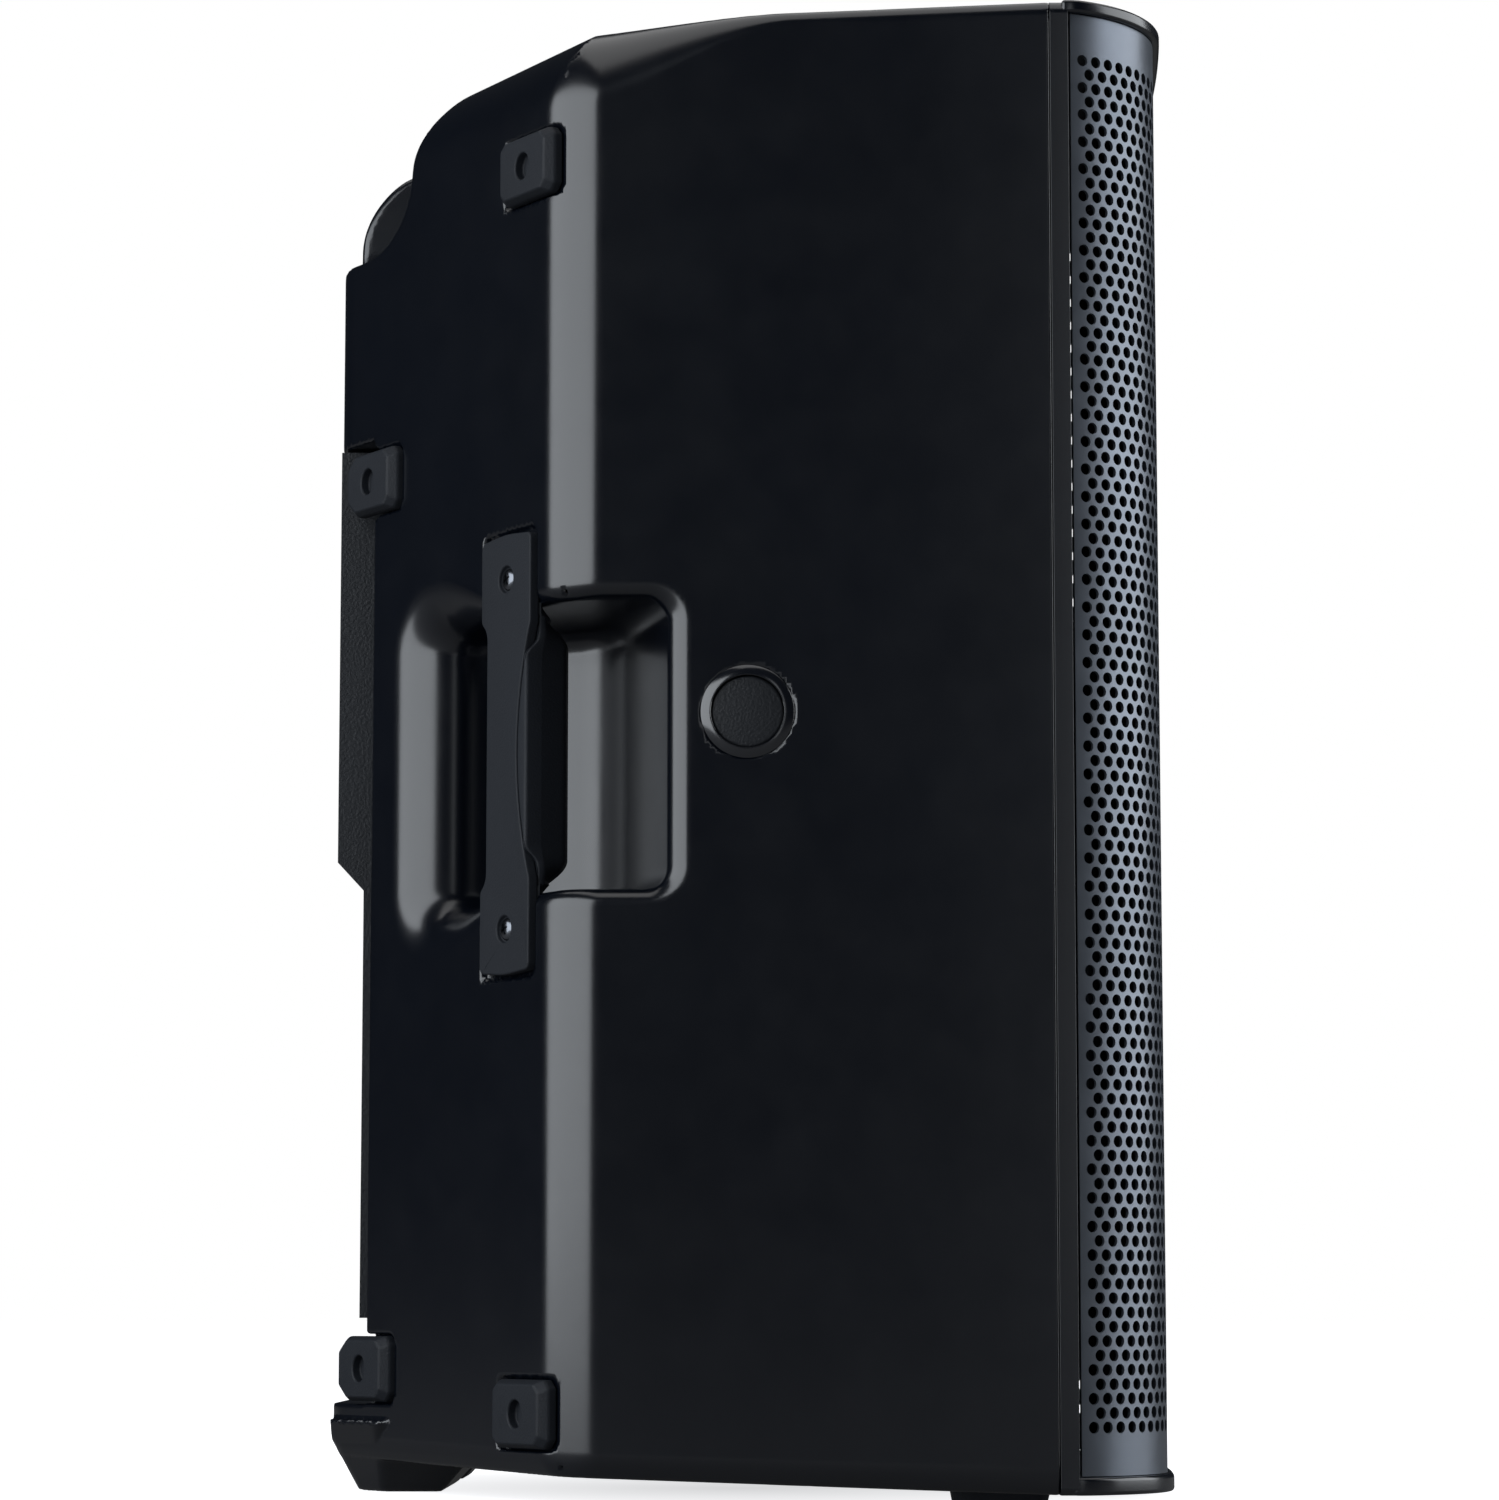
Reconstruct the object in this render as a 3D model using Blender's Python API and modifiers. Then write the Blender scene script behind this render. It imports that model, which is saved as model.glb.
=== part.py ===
"""A powered 12-inch PA loudspeaker cabinet in moulded plastic.

The origin is on the floor under the middle of the cabinet's box. +Z is up, the grille faces -Y, and the side
that slants back to the rear, with the side handle, is at -X. Lengths below are millimetres unless a name says
otherwise; MM turns them into Blender's metres.
"""

import math

import bmesh
import bpy
from mathutils import Matrix, Vector

MM = 0.001
GAP = 0.3  # clearance between pieces that touch
WALL = 4.0

# Driving dimensions of the cabinet
TOP_Z = 602.0
BASE_Z = 4.0
HALF_WIDTH = 178.0
SEAM_Y = -121.8  # where the rear shell meets the front moulding
BEZEL_Y = -129.4  # front face of the front moulding's bezel and baffle
REAR_Y = 176.2
TAPER = 0.035  # fall of the top and rise of the base per millimetre towards the rear

RIDGE = (-173.6, 73.5)  # corner between the flat side and the slanting face
EAR = (-25.0, REAR_Y)  # corner between the slanting face and the rear
FAR_REAR = (150.0, REAR_Y)
FAR_SIDE = (174.4, 128.0)

TOP_ROUND = 36.0
SIDE_TOP_ROUND = 6.0
RIDGE_BEVEL = 6.3
BASE_BEVEL = 3.0

# Hand pockets and strap handles
SIDE_POCKET_Z = (242.0, 358.0)
TOP_POCKET_X = (-71.0, 62.0)
TOP_POCKET_FLOOR_Z = 527.5
TOP_POCKET_Y = 20.0
STRAP_LENGTH = 181.0
STRAP_WIDTH = 38.0
STRAP_WAIST = 23.0
STRAP_SCREW_SPACING = 142.6
STRAP_SEAT = 3.0
SIDE_STRAP_S = 41.0
SIDE_STRAP_Z = 299.5
TOP_STRAP_X = -4.5
TOP_STRAP_Y = 62.0

# Rubber bumpers: (distance along the slanting face from the ridge, height)
BUMPERS = {
    "bumper_upper_front": (25.5, 539.0),
    "bumper_lower_front": (25.5, 35.0),
    "bumper_upper_rear": (150.0, 428.0),
    "bumper_lower_rear": (150.0, 51.5),
}
BUMPER_BASE = (27.0, 40.0)
BUMPER_FACE = (21.0, 34.0)
BUMPER_SEAT = 3.0
BUMPER_PROUD = 5.0

# Grille: an arc round each front corner, then a long flat arc across the front
GRILLE_START = (-176.0, -130.3)
GRILLE_START_ANGLE = 20.0
GRILLE_CORNER_ANGLE = 85.0
GRILLE_CORNER_RADIUS = 58.0
GRILLE_FRONT_RADIUS = 1430.0
GRILLE_THICKNESS = 1.5
GRILLE_Z = (11.4, 596.4)
LIP_PROUD = 2.6

MOUNT_Z = 312.0
MOUNT_RADIUS = 18.6

WOOFER_Z = 188.0
HORN_Z = 460.0
PORT_X = 136.0
PORT_Z = 326.0

# Amplifier recess in the rear face
RECESS_X = (-48.0, 148.0)
RECESS_STEP_X = -26.0
RECESS_Z = (32.0, 447.0)
RECESS_STEP_Z = (72.0, 410.0)
RECESS_Y = 150.0
PANEL_Y = 165.0
HOUSING_Y = REAR_Y
HOUSING_Z = 262.0
CONTROL_Y = 163.0  # face of the control panel, sunk inside the housing's rim
ROCKER_DEPTH = 5.0  # the power rocker's pivot, behind the panel's face

# Inside the amplifier
BOARD = ((-18, 140, 276), (128, 141.8, 422))
HEATSINK = ((40, 104, 276), (126, 134, 420))
HEATSINK_SLOTS = (45, 10, 6, 22, 8)  # first slot's X, spacing, width, depth and count
POWER_SUPPLY = ((0, 108, 190), (120, 142, 258))
FAN_CENTRE = (28, 146)
FAN_Y = (140, 155)
FAN_HALF_SIZE = 26
FAN_DUCT_RADIUS = 24
FAN_BLADES = 5
BLADE_PITCH = 35.0

FINISHES = {
    # base colour, roughness, metallic
    "moulded_black": ((0.010, 0.012, 0.016), 0.36, 0.0),
    "rubber": ((0.034, 0.037, 0.042), 0.65, 0.0),
    "grille_paint": ((0.060, 0.066, 0.078), 0.42, 0.7),
    "bright_steel": ((0.55, 0.56, 0.58), 0.28, 1.0),
    "black_steel": ((0.030, 0.032, 0.036), 0.30, 0.8),
    "foam": ((0.008, 0.008, 0.009), 0.95, 0.0),
    "paper": ((0.020, 0.020, 0.022), 0.85, 0.0),
    "magnet": ((0.080, 0.080, 0.085), 0.45, 0.6),
    "aluminium": ((0.60, 0.61, 0.63), 0.38, 1.0),
    "board": ((0.015, 0.110, 0.045), 0.50, 0.0),
    "glass": ((0.010, 0.014, 0.020), 0.08, 0.0),
}

PARTS = bpy.data.collections.new("pa_speaker_cabinet")
CUTTERS = bpy.data.collections.new("cutters")


def frame(origin, x_axis, y_axis):
    """A placement whose first two axes are given, and whose third is their cross product."""
    x = Vector(x_axis).normalized()
    y = Vector(y_axis).normalized()
    z = x.cross(y)
    rotation = Matrix((x, y, z)).transposed().to_4x4()
    return Matrix.Translation(Vector(origin) * MM) @ rotation


def unit(start, end):
    step = Vector(end) - Vector(start)
    return step.normalized()


SLANT = unit(RIDGE, EAR)
SIDE_RUN = unit((-HALF_WIDTH, SEAM_Y), RIDGE)

UPRIGHT = frame((0, 0, 0), (1, 0, 0), (0, 1, 0))
PROFILE = frame((0, 0, 0), (0, 1, 0), (0, 0, 1))  # u = Y, v = Z, raised along +X
# On the slanting face: u runs rearwards from the ridge, v is up, and the third axis goes into the cabinet
SLANT_FACE = frame((*RIDGE, 0), (*SLANT, 0), (0, 0, 1))
# On the flat side, from the height of the seam: u runs rearwards, the third axis goes into the cabinet
SIDE_FACE = frame((-HALF_WIDTH, SEAM_Y, 0), (*SIDE_RUN, 0), (0, 0, 1))


def facing_front(x, y, z):
    """u = X, v = Z, and the third axis points out of the front."""
    return frame((x, y, z), (1, 0, 0), (0, 0, 1))


def facing_rear(x, y, z):
    """u = -X, v = Z, and the third axis points out of the rear."""
    return frame((x, y, z), (-1, 0, 0), (0, 0, 1))


def top_z(y):
    return TOP_Z - TAPER * (y - SEAM_Y)


def base_z(y):
    return BASE_Z + TAPER * (y - SEAM_Y)


# Making solids


def add_object(name, mesh, placement, finish):
    obj = bpy.data.objects.new(name, mesh)
    obj.matrix_world = placement
    if finish:
        PARTS.objects.link(obj)
        paint(obj, finish)
    else:
        CUTTERS.objects.link(obj)
        obj.hide_render = True
        obj.display_type = "WIRE"
    return obj


def paint(obj, finish):
    colour, roughness, metallic = FINISHES[finish]
    surface = bpy.data.materials.new(obj.name)
    surface.use_nodes = True
    shader = surface.node_tree.nodes["Principled BSDF"]
    shader.inputs["Base Color"].default_value = (*colour, 1)
    shader.inputs["Roughness"].default_value = roughness
    shader.inputs["Metallic"].default_value = metallic
    surface.diffuse_color = (*colour, 1)
    obj.data.materials.append(surface)


def box(name, low, high, finish=None, placement=UPRIGHT, bevel=0.0):
    """A block between two corners, with its edges rounded by bevel."""
    shape = bmesh.new()
    bmesh.ops.create_cube(shape, size=1.0)
    size = [(b - a) * MM for a, b in zip(low, high)]
    centre = [(a + b) / 2 * MM for a, b in zip(low, high)]
    bmesh.ops.scale(shape, vec=size, verts=shape.verts)
    bmesh.ops.translate(shape, vec=centre, verts=shape.verts)
    mesh = bpy.data.meshes.new(name)
    shape.to_mesh(mesh)
    shape.free()
    obj = add_object(name, mesh, placement, finish)
    if bevel:
        round_edges(obj, bevel, 2)
    return obj


def round_edges(obj, width, segments, limit="ANGLE"):
    bevel = obj.modifiers.new("rounded_edges", "BEVEL")
    bevel.width = width * MM
    bevel.segments = segments
    bevel.limit_method = limit
    bevel.angle_limit = math.radians(40)
    return bevel


def prism(name, outlines, low, high, finish=None, placement=UPRIGHT):
    """Closed outlines in the first two axes, raised along the third. A second outline is a hole."""
    curve = bpy.data.curves.new(name, "CURVE")
    curve.dimensions = "2D"
    curve.fill_mode = "BOTH"
    curve.extrude = (high - low) / 2 * MM
    for outline in outlines:
        spline = curve.splines.new("POLY")
        spline.points.add(len(outline) - 1)
        for point, (u, v) in zip(spline.points, outline):
            point.co = (u * MM, v * MM, 0, 1)
        spline.use_cyclic_u = True
    source = bpy.data.objects.new(name + "_outline", curve)
    bpy.context.scene.collection.objects.link(source)
    depsgraph = bpy.context.evaluated_depsgraph_get()
    mesh = bpy.data.meshes.new_from_object(source.evaluated_get(depsgraph))
    bpy.data.objects.remove(source)
    shape = bmesh.new()
    shape.from_mesh(mesh)
    bmesh.ops.remove_doubles(shape, verts=shape.verts, dist=1e-6)
    bmesh.ops.dissolve_limit(
        shape, angle_limit=math.radians(0.5), verts=shape.verts, edges=shape.edges
    )
    bmesh.ops.translate(shape, vec=(0, 0, (high + low) / 2 * MM), verts=shape.verts)
    bmesh.ops.recalc_face_normals(shape, faces=shape.faces)
    shape.to_mesh(mesh)
    shape.free()
    mesh.name = name
    mesh.materials.clear()
    return add_object(name, mesh, placement, finish)


def turned(name, profile, finish=None, placement=UPRIGHT, steps=24):
    """A profile of (radius, height) points turned about the placement's third axis.

    A profile that ends on the axis is left open there; any other is joined into a ring.
    """
    shape = bmesh.new()
    verts = [shape.verts.new((r * MM, 0, h * MM)) for r, h in profile]
    pairs = list(zip(verts, verts[1:]))
    if profile[0][0] > 0 or profile[-1][0] > 0:
        pairs.append((verts[-1], verts[0]))
    for start, end in pairs:
        shape.edges.new((start, end))
    mesh = bpy.data.meshes.new(name)
    shape.to_mesh(mesh)
    shape.free()
    obj = add_object(name, mesh, placement, finish)
    screw = obj.modifiers.new("turn", "SCREW")
    screw.steps = steps
    screw.render_steps = steps
    screw.use_merge_vertices = True
    screw.merge_threshold = 0.00001
    screw.use_normal_calculate = False
    screw.use_smooth_shade = True
    return obj


def rod(name, radius, low, high, finish=None, placement=UPRIGHT, steps=24):
    return turned(
        name, [(0, high), (radius, high), (radius, low), (0, low)], finish, placement, steps
    )


def combine(obj, operation, *others):
    for other in others:
        boolean = obj.modifiers.new(other.name, "BOOLEAN")
        boolean.operation = operation
        boolean.solver = "EXACT"
        boolean.object = other
    return obj


def cut(obj, *cutters):
    return combine(obj, "DIFFERENCE", *cutters)


def rounded(corners, steps=5):
    """An outline whose corners, each (u, v, radius), become arcs."""
    outline = []
    count = len(corners)
    for index, (u, v, radius) in enumerate(corners):
        corner = Vector((u, v))
        if radius <= 0:
            outline.append((u, v))
            continue
        before = (Vector(corners[index - 1][:2]) - corner).normalized()
        after = (Vector(corners[(index + 1) % count][:2]) - corner).normalized()
        half = before.angle(after) / 2
        centre = corner + (before + after).normalized() * radius / math.sin(half)
        start = corner + before * radius / math.tan(half)
        end = corner + after * radius / math.tan(half)
        first = start - centre
        sweep = first.angle_signed(end - centre)
        for step in range(steps + 1):
            turn = -sweep * step / steps
            spoke = Matrix.Rotation(turn, 2) @ first
            outline.append(tuple(centre + spoke))
    return outline


def rectangle(half_u, half_v, radius, centre=(0.0, 0.0), steps=4):
    u, v = centre
    corners = [
        (u - half_u, v - half_v, radius),
        (u + half_u, v - half_v, radius),
        (u + half_u, v + half_v, radius),
        (u - half_u, v + half_v, radius),
    ]
    return rounded(corners, steps)


# Rear shell


def body_plan(inset, front_y):
    """The cabinet's plan, moved inwards all round by inset, from front_y to the rear."""
    corners = [(-HALF_WIDTH, SEAM_Y), RIDGE, EAR, FAR_REAR, FAR_SIDE, (HALF_WIDTH, SEAM_Y)]
    walls = []
    for start, end in zip(corners, corners[1:]):
        run = unit(start, end)
        inwards = Vector((run.y, -run.x))
        walls.append((Vector(start) + inwards * inset, run))
    plan = [meet_front(*walls[0], front_y)]
    for (point, run), (next_point, next_run) in zip(walls, walls[1:]):
        across = next_point - point
        along = across.cross(next_run) / run.cross(next_run)
        plan.append(tuple(point + run * along))
    plan.append(meet_front(*walls[-1], front_y))
    return plan


def meet_front(point, run, front_y):
    return tuple(point + run * ((front_y - point.y) / run.y))


def body_solid(name, inset, front_y, rounding, finish=None):
    """The cabinet's outer form as a solid: a tapering prism with its edges rounded by their own radii."""
    plan = body_plan(inset, front_y)
    obj = prism(name, [plan], 0, TOP_Z, finish)
    mesh = obj.data
    middle = TOP_Z * MM / 2
    for vert in mesh.vertices:
        y = vert.co.y / MM
        upper = vert.co.z > middle
        vert.co.z = (top_z(y) - inset if upper else base_z(y) + inset) * MM
    weights = mesh.attributes.new("bevel_weight_edge", "FLOAT", "EDGE")
    for edge in mesh.edges:
        ends = [mesh.vertices[index].co / MM for index in edge.vertices]
        weights.data[edge.index].value = edge_rounding(ends, front_y) / TOP_ROUND
    round_edges(obj, rounding, 4, "WEIGHT").use_clamp_overlap = True
    return obj


def edge_rounding(ends, front_y):
    """How far back an edge of the body is rounded, by where it lies."""
    low, high = ends
    at_front = abs(low.y - front_y) < 1 and abs(high.y - front_y) < 1
    if at_front:
        return 0.0
    if abs(low.z - high.z) > TOP_Z / 2:
        return RIDGE_BEVEL
    if low.z < TOP_Z / 2:
        return BASE_BEVEL
    on_side = abs(abs(low.x) - abs(high.x)) < WALL * 2
    return SIDE_TOP_ROUND if on_side else TOP_ROUND


def side_pocket(name, grow):
    """The hand pocket that runs from the flat side round the ridge on to the slanting face."""
    out = 60.0
    corners = [
        (-HALF_WIDTH - out, 13.0 - grow, 0),
        (-85.0 + grow * 0.6, 54.0 - grow, 12 + grow),
        (-62.0 + grow, 97.0, 14 + grow),
        (-97.0 + grow, 168.0, 0),
        (-HALF_WIDTH - out, 168.0, 0),
    ]
    low, high = SIDE_POCKET_Z
    obj = prism(name, [rounded(corners)], low - grow, high + grow)
    round_edges(obj, 7.0, 2)
    return obj


def top_pocket(name, grow):
    """The hand pocket under the top strap, open over the cabinet's top and rear."""
    low_x, high_x = TOP_POCKET_X
    corners = [
        (low_x - grow, TOP_Z + 40, 0),
        (low_x - grow, TOP_POCKET_FLOOR_Z - grow, 30 + grow),
        (high_x + grow, TOP_POCKET_FLOOR_Z - grow, 30 + grow),
        (high_x + grow, TOP_Z + 40, 0),
    ]
    rear, front = -(REAR_Y + 40), -(TOP_POCKET_Y - grow)
    return prism(name, [rounded(corners)], rear, front, None, facing_front(0, 0, 0))


def top_strap_frame():
    """On the top face under the top strap: u = X, v along the fall of the top, third axis up."""
    slope = (0, 1, -TAPER)
    return frame((TOP_STRAP_X, TOP_STRAP_Y, top_z(TOP_STRAP_Y)), (1, 0, 0), slope)


def side_strap_frame():
    """On the slanting face: u = up, v = towards the rear, third axis out of the cabinet."""
    centre = SLANT_FACE @ Vector((SIDE_STRAP_S * MM, SIDE_STRAP_Z * MM, 0))
    return frame(tuple(centre / MM), (0, 0, 1), (*SLANT, 0))


def strap_seat(name, placement, grow):
    half_u = STRAP_LENGTH / 2 + 1.0 + grow
    half_v = STRAP_WIDTH / 2 + 1.0 + grow
    depth = STRAP_SEAT + grow
    outline = rectangle(half_u, half_v, 4.0)
    return prism(name, [outline], -depth, 12, None, placement)


def bumper_frame(along, height):
    """On the slanting face: u rearwards, v down, third axis out of the cabinet."""
    centre = SLANT_FACE @ Vector((along * MM, height * MM, 0))
    return frame(tuple(centre / MM), (*SLANT, 0), (0, 0, -1))


def bumper_seat(name, place, grow):
    half_v = BUMPER_BASE[0] / 2 + 1.2 + grow
    half_u = BUMPER_BASE[1] / 2 + 1.2 + grow
    outline = rectangle(half_u, half_v, 5.0)
    return prism(name, [outline], -BUMPER_SEAT - grow, 14, None, bumper_frame(*place))


def recess_outline(grow):
    low_x, high_x = RECESS_X
    step_low, step_high = RECESS_STEP_Z
    low_z, high_z = RECESS_Z
    return [
        (low_x - grow, step_low - grow),
        (low_x - grow, step_high + grow),
        (RECESS_STEP_X - grow, step_high + grow),
        (RECESS_STEP_X - grow, high_z + grow),
        (high_x + grow, high_z + grow),
        (high_x + grow, low_z - grow),
        (RECESS_STEP_X - grow, low_z - grow),
        (RECESS_STEP_X - grow, step_low - grow),
    ]


def amp_recess(name, grow):
    outline = [(-x, z) for x, z in recess_outline(grow)]
    return prism(name, [outline], RECESS_Y - grow, REAR_Y + 30, None, facing_rear(0, 0, 0))


def pole_hole(name, radius, low, high):
    return rod(name, radius, low, high, None, frame((0, 25, 0), (1, 0, 0), (0, 1, 0)))


def mount_hole(name, radius, depth):
    along = -SEAM_Y / SIDE_RUN.y
    centre = SIDE_FACE @ Vector((along * MM, MOUNT_Z * MM, 0))
    placement = frame(tuple(centre / MM), (*SIDE_RUN, 0), (0, 0, 1))
    return rod(name, radius, -20, depth, None, placement)


def rear_shell():
    """The shell: the outer form less its pockets and seats, less a cavity that keeps a wall behind each."""
    cavity = body_solid("shell_cavity", WALL, SEAM_Y - 30, TOP_ROUND - WALL)
    cut(
        cavity,
        *[bumper_seat(name + "_wall", place, WALL) for name, place in BUMPERS.items()],
        strap_seat("side_strap_wall", side_strap_frame(), WALL),
        strap_seat("top_strap_wall", top_strap_frame(), WALL),
        mount_hole("mount_boss", MOUNT_RADIUS + WALL, 20),
        side_pocket("side_pocket_wall", WALL),
        top_pocket("top_pocket_wall", WALL),
        amp_recess("amp_recess_wall", WALL),
    )
    opening = box("amp_opening", (-20, RECESS_Y - 20, 90), (130, RECESS_Y + 5, 425))
    shell = body_solid("rear_shell", 0, SEAM_Y + GAP / 2, TOP_ROUND, "moulded_black")
    combine(shell, "UNION", *rear_feet())
    cut(
        shell,
        side_pocket("side_pocket", 0),
        top_pocket("top_pocket", 0),
        amp_recess("amp_recess", 0),
        strap_seat("side_strap_seat", side_strap_frame(), 0),
        strap_seat("top_strap_seat", top_strap_frame(), 0),
        *[bumper_seat(name + "_seat", place, 0) for name, place in BUMPERS.items()],
        mount_hole("mount_recess", MOUNT_RADIUS + GAP, 8),
        pole_hole("pole_opening", 23, -10, 40),
        cavity,
        opening,
    )


# Front moulding, grille and foam


def grille_line(offset, steps=12):
    """The grille's outer line in plan, from the left corner to the right, moved outwards by offset."""
    points = []
    x, y = GRILLE_START
    start = math.radians(GRILLE_START_ANGLE)
    corner = math.radians(GRILLE_CORNER_ANGLE)
    radius = GRILLE_CORNER_RADIUS
    for step in range(steps + 1):
        angle = start + (corner - start) * step / steps
        turned_x = x + radius * (math.cos(start) - math.cos(angle))
        turned_y = y - radius * (math.sin(angle) - math.sin(start))
        points.append((turned_x, turned_y, angle))
    x, y, _ = points[-1]
    for step in range(1, 5):
        angle = corner + (math.pi / 2 - corner) * step / 4
        turned_x = x + GRILLE_FRONT_RADIUS * (math.cos(corner) - math.cos(angle))
        turned_y = y - GRILLE_FRONT_RADIUS * (math.sin(angle) - math.sin(corner))
        points.append((min(turned_x, 0.0), turned_y, angle))
    left = [
        (px - offset * math.cos(angle), py - offset * math.sin(angle))
        for px, py, angle in points
    ]
    left[-1] = (0.0, left[-1][1])
    right = [(-px, py) for px, py in reversed(left[:-1])]
    return left + right


def grille():
    outer = grille_line(0)
    inner = grille_line(-GRILLE_THICKNESS)
    prism("grille", [outer + inner[::-1]], *GRILLE_Z, "grille_paint")


def grille_foam():
    outer = [p for p in grille_line(-GRILLE_THICKNESS - GAP) if abs(p[0]) < 152]
    inner = [p for p in grille_line(-GRILLE_THICKNESS - GAP - 3) if abs(p[0]) < 152]
    prism("grille_foam", [outer + inner[::-1]], 16, 592, "foam")


def front_lip(name, low, high):
    curve = [(max(-HALF_WIDTH, min(HALF_WIDTH, x)), y) for x, y in grille_line(LIP_PROUD)]
    line = [(-HALF_WIDTH, BEZEL_Y + 2)] + curve + [(HALF_WIDTH, BEZEL_Y + 2)]
    return prism(name, [line], low, high)


def front_baffle():
    """The front moulding: bezel, baffle for the drivers, and the two lips that hold the grille."""
    corners = [
        (-HALF_WIDTH, BASE_Z, 3),
        (HALF_WIDTH, BASE_Z, 3),
        (HALF_WIDTH, TOP_Z, SIDE_TOP_ROUND),
        (-HALF_WIDTH, TOP_Z, SIDE_TOP_ROUND),
    ]
    bezel = rounded(corners)
    front = facing_front(0, 0, 0)
    baffle = prism("front_baffle", [bezel], -SEAM_Y + GAP / 2, -BEZEL_Y, "moulded_black", front)
    plug = box(
        "baffle_plug",
        (-HALF_WIDTH + WALL + 2, BEZEL_Y + 2, BASE_Z + WALL + 2),
        (HALF_WIDTH - WALL - 2, BEZEL_Y + 12, TOP_Z - WALL - 2),
    )
    lips = [
        front_lip("top_lip", GRILLE_Z[1] + GAP, TOP_Z),
        front_lip("bottom_lip", BASE_Z, GRILLE_Z[0] - GAP),
    ]
    combine(baffle, "UNION", plug, *lips)
    through = (-BEZEL_Y - 40, -BEZEL_Y + 4)
    woofer_hole = rod("woofer_hole", 141, *through, None, facing_front(0, 0, WOOFER_Z), 48)
    horn_hole = prism(
        "horn_hole", [rectangle(122.5, 92.5, 24)], *through, None, facing_front(0, 0, HORN_Z)
    )
    port_holes = [
        rod(f"port_hole_{side}", 23.5, *through, None, facing_front(sign * PORT_X, 0, PORT_Z))
        for side, sign in (("left", -1), ("right", 1))
    ]
    cut(baffle, woofer_hole, horn_hole, *port_holes)


# Low-frequency driver: heights are from the baffle's front face, positive out of the front


def woofer():
    place = facing_front(0, BEZEL_Y, WOOFER_Z)
    basket = turned(
        "woofer_basket",
        [(155, 5), (155, GAP), (140, GAP), (138, -6), (84, -72), (50, -72),
         (50, -68.5), (80, -68.5), (133, -4), (133, 5)],
        "black_steel",
        place,
        32,
    )
    window = 34.0
    cut(
        basket,
        box("basket_windows_x", (-160, -window, -52), (160, window, -16), None, place),
        box("basket_windows_z", (-window, -160, -52), (window, 160, -16), None, place),
    )
    turned("woofer_top_plate", [(70, -72.3), (70, -79.7), (33.6, -79.7), (33.6, -72.3)],
           "magnet", place)
    turned("woofer_magnet", [(72, -80), (72, -104), (40, -104), (40, -80)], "magnet", place)
    turned("woofer_pole_piece", [(0, -66), (30, -66), (30, -104.3), (72, -104.3), (72, -112), (0, -112)],
           "magnet", place)
    turned("woofer_cone", [(128, 1), (128, -0.5), (34, -49.5), (31, -49.5), (31, -48), (33.5, -48)],
           "paper", place, 32)
    dome = dome_profile(40, 14, 1.2, -42.0)
    turned("woofer_dust_cap", dome, "paper", place)
    turned("voice_coil", [(32.4, -50), (32.4, -92), (31.2, -92), (31.2, -50)], "aluminium", place)
    turned("woofer_surround", surround_profile(), "rubber", place, 32)
    turned("woofer_spider", [(66, -65.2), (66, -66.6), (34, -66.6), (34, -65.2)], "paper", place)


def dome_profile(radius, height, thickness, base, steps=4):
    """A shallow dome open below: out over the top, then back underneath to the axis."""
    outer = []
    inner = []
    for step in range(steps + 1):
        angle = math.pi / 2 * step / steps
        outer.append((radius * math.sin(angle), base + height * math.cos(angle)))
        reach = radius - thickness
        inner.append((reach * math.sin(angle), base + (height - thickness) * math.cos(angle)))
    return outer + inner[::-1]


def surround_profile(steps=5):
    """A half-roll surround with a flat rim that sits on the basket's flange."""
    middle, outer_radius, thickness = 136.0, 7.2, 1.5
    floor = 5 + GAP
    profile = [(150, floor + thickness), (150, floor), (middle + outer_radius - thickness, floor)]
    for step in range(1, steps):
        angle = math.pi * step / steps
        reach = outer_radius - thickness
        profile.append((middle + reach * math.cos(angle), floor + reach * math.sin(angle)))
    profile += [(middle - outer_radius + thickness, floor), (middle - outer_radius, floor)]
    for step in range(1, steps):
        angle = math.pi * (1 - step / steps)
        rise = floor + outer_radius * math.sin(angle)
        profile.append((middle + outer_radius * math.cos(angle), rise))
    return profile


# High-frequency horn and compression driver


def horn_ring(shape, half_u, half_v, exponent, height, count=24):
    """A ring between a circle (exponent 2) and a rounded rectangle (a higher exponent)."""
    ring = []
    for index in range(count):
        angle = 2 * math.pi * index / count
        cosine, sine = math.cos(angle), math.sin(angle)
        u = half_u * math.copysign(abs(cosine) ** (2 / exponent), cosine)
        v = half_v * math.copysign(abs(sine) ** (2 / exponent), sine)
        ring.append(shape.verts.new((u * MM, v * MM, height * MM)))
    return ring


def horn_waveguide():
    """A flare from a round throat to a rectangular mouth with a flange, lofted ring by ring."""
    throat, half_u, half_v, depth = 15.0, 116.0, 86.0, 100.0
    shape = bmesh.new()
    rings = [horn_ring(shape, half_u + 12, half_v + 12, 9, GAP)]
    levels = 5
    for level in range(levels, -1, -1):
        t = level / levels
        grown_u = throat + (half_u - throat) * t**1.15
        grown_v = throat + (half_v - throat) * t**1.15
        rings.append(horn_ring(shape, grown_u, grown_v, 2 + 5 * t, GAP - depth * (1 - t)))
    for outer, inner in zip(rings, rings[1:]):
        count = len(outer)
        for index in range(count):
            following = (index + 1) % count
            shape.faces.new((outer[index], outer[following], inner[following], inner[index]))
    mesh = bpy.data.meshes.new("horn_waveguide")
    bmesh.ops.recalc_face_normals(shape, faces=shape.faces)
    shape.to_mesh(mesh)
    shape.free()
    place = facing_front(0, BEZEL_Y, HORN_Z)
    horn = add_object("horn_waveguide", mesh, place, "moulded_black")
    solid = horn.modifiers.new("wall", "SOLIDIFY")
    solid.thickness = 2.5 * MM
    solid.offset = 1.0
    solid.use_even_offset = False


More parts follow.
